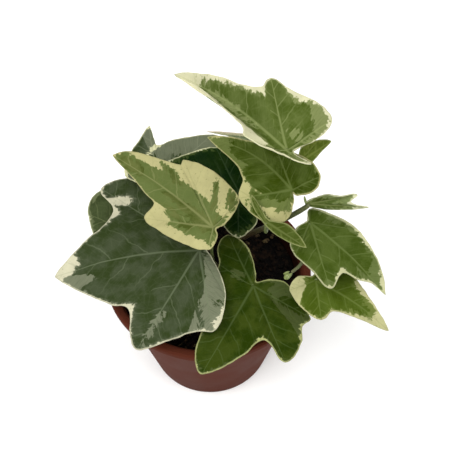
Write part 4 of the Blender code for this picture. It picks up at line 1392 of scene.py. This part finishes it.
# %%  All the leafstalks
JOIN_REACH = 5.0
NECK = 0.3
all_stem_points = [point for points in stem_routes.values() for point in points]
for leaf_name, route in STALKS.items():
    leaf = LEAVES[leaf_name]
    start = Vector(route[0])
    parent = min(all_stem_points, key=lambda point: (point - start).length)
    if 0.5 < (parent - start).length < JOIN_REACH:
        route = [tuple(parent)] + route
    down = blade_matrix(leaf).to_3x3() @ Vector((0, 0, -1))
    junction = Vector(leaf["junction"])
    route = route + [tuple(junction + down * 0.3)]
    points = smooth_route(route, STALK_POINTS)
    radii = []
    for index in range(len(points)):
        share = index / (len(points) - 1)
        ends = math.exp(-((1 - share) / 0.08) ** 2) * 0.2 + math.exp(-(share / 0.1) ** 2) * NECK
        radii.append(STALK_RADIUS * (0.9 + ends))
    add_piece(leaf_name + "_leafstalk", make_rod(points, radii), [leafstalk_skin],
              [leaf_name + "_stalk"])
print("stems:", len(STEMS), "leafstalks:", len(STALKS))

# %% [markdown]
# The nodding side shoot ends in a small closed bud between two bracts, and the right stem in a thin
# stipule, a leftover scale of the bud that the newest leaf came out of. Both are drawn-out spheres.

# %%  Bud and stipule
BUD_PARTS = [
    ((33.9, -15.1, 81.4), (31.6, -15.9, 79.2), 1.2),
    ((34.6, -14.9, 82.2), (32.6, -17.2, 81.0), 0.55),
    ((33.6, -14.2, 82.0), (31.2, -14.4, 80.4), 0.5),
]
STIPULE_PARTS = [((39.2, 0.1, 107.0), (38.0, 0.8, 111.6), 0.5)]


def spindles(parts):
    """Pointed bud shapes, each between two places."""
    bm = bmesh.new()
    for start, end, radius in parts:
        start, end = Vector(start) * MM, Vector(end) * MM
        along = end - start
        turn = along.to_track_quat("Z", "Y").to_matrix().to_4x4()
        size = Matrix.Diagonal((radius * MM, radius * MM, along.length / 2, 1))
        matrix = Matrix.Translation((start + end) / 2) @ turn @ size
        bmesh.ops.create_uvsphere(bm, u_segments=24, v_segments=16, radius=1.0, matrix=matrix)
    return bm


bud_skin = rod_skin("fresh_bud_scale", "#6f7b42", "#8e9863", "#6f7b42", 0, 0.55)
add_piece("side_bud", spindles(BUD_PARTS), [bud_skin], ["bud"])
add_piece("stem_stipule", spindles(STIPULE_PARTS), [bud_skin], ["stipule"])

# %% [markdown]
# ## Sizes
# The size of the finished plant is printed beside the size of the CAD model's box.

# %%  Size and finish
seen_box = [list(corner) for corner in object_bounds()]
for label, box in (("cad", CAD_BOX), ("visual", seen_box)):
    print(label, [round((high - low) / MM, 1) for low, high in zip(*box)], "mm")
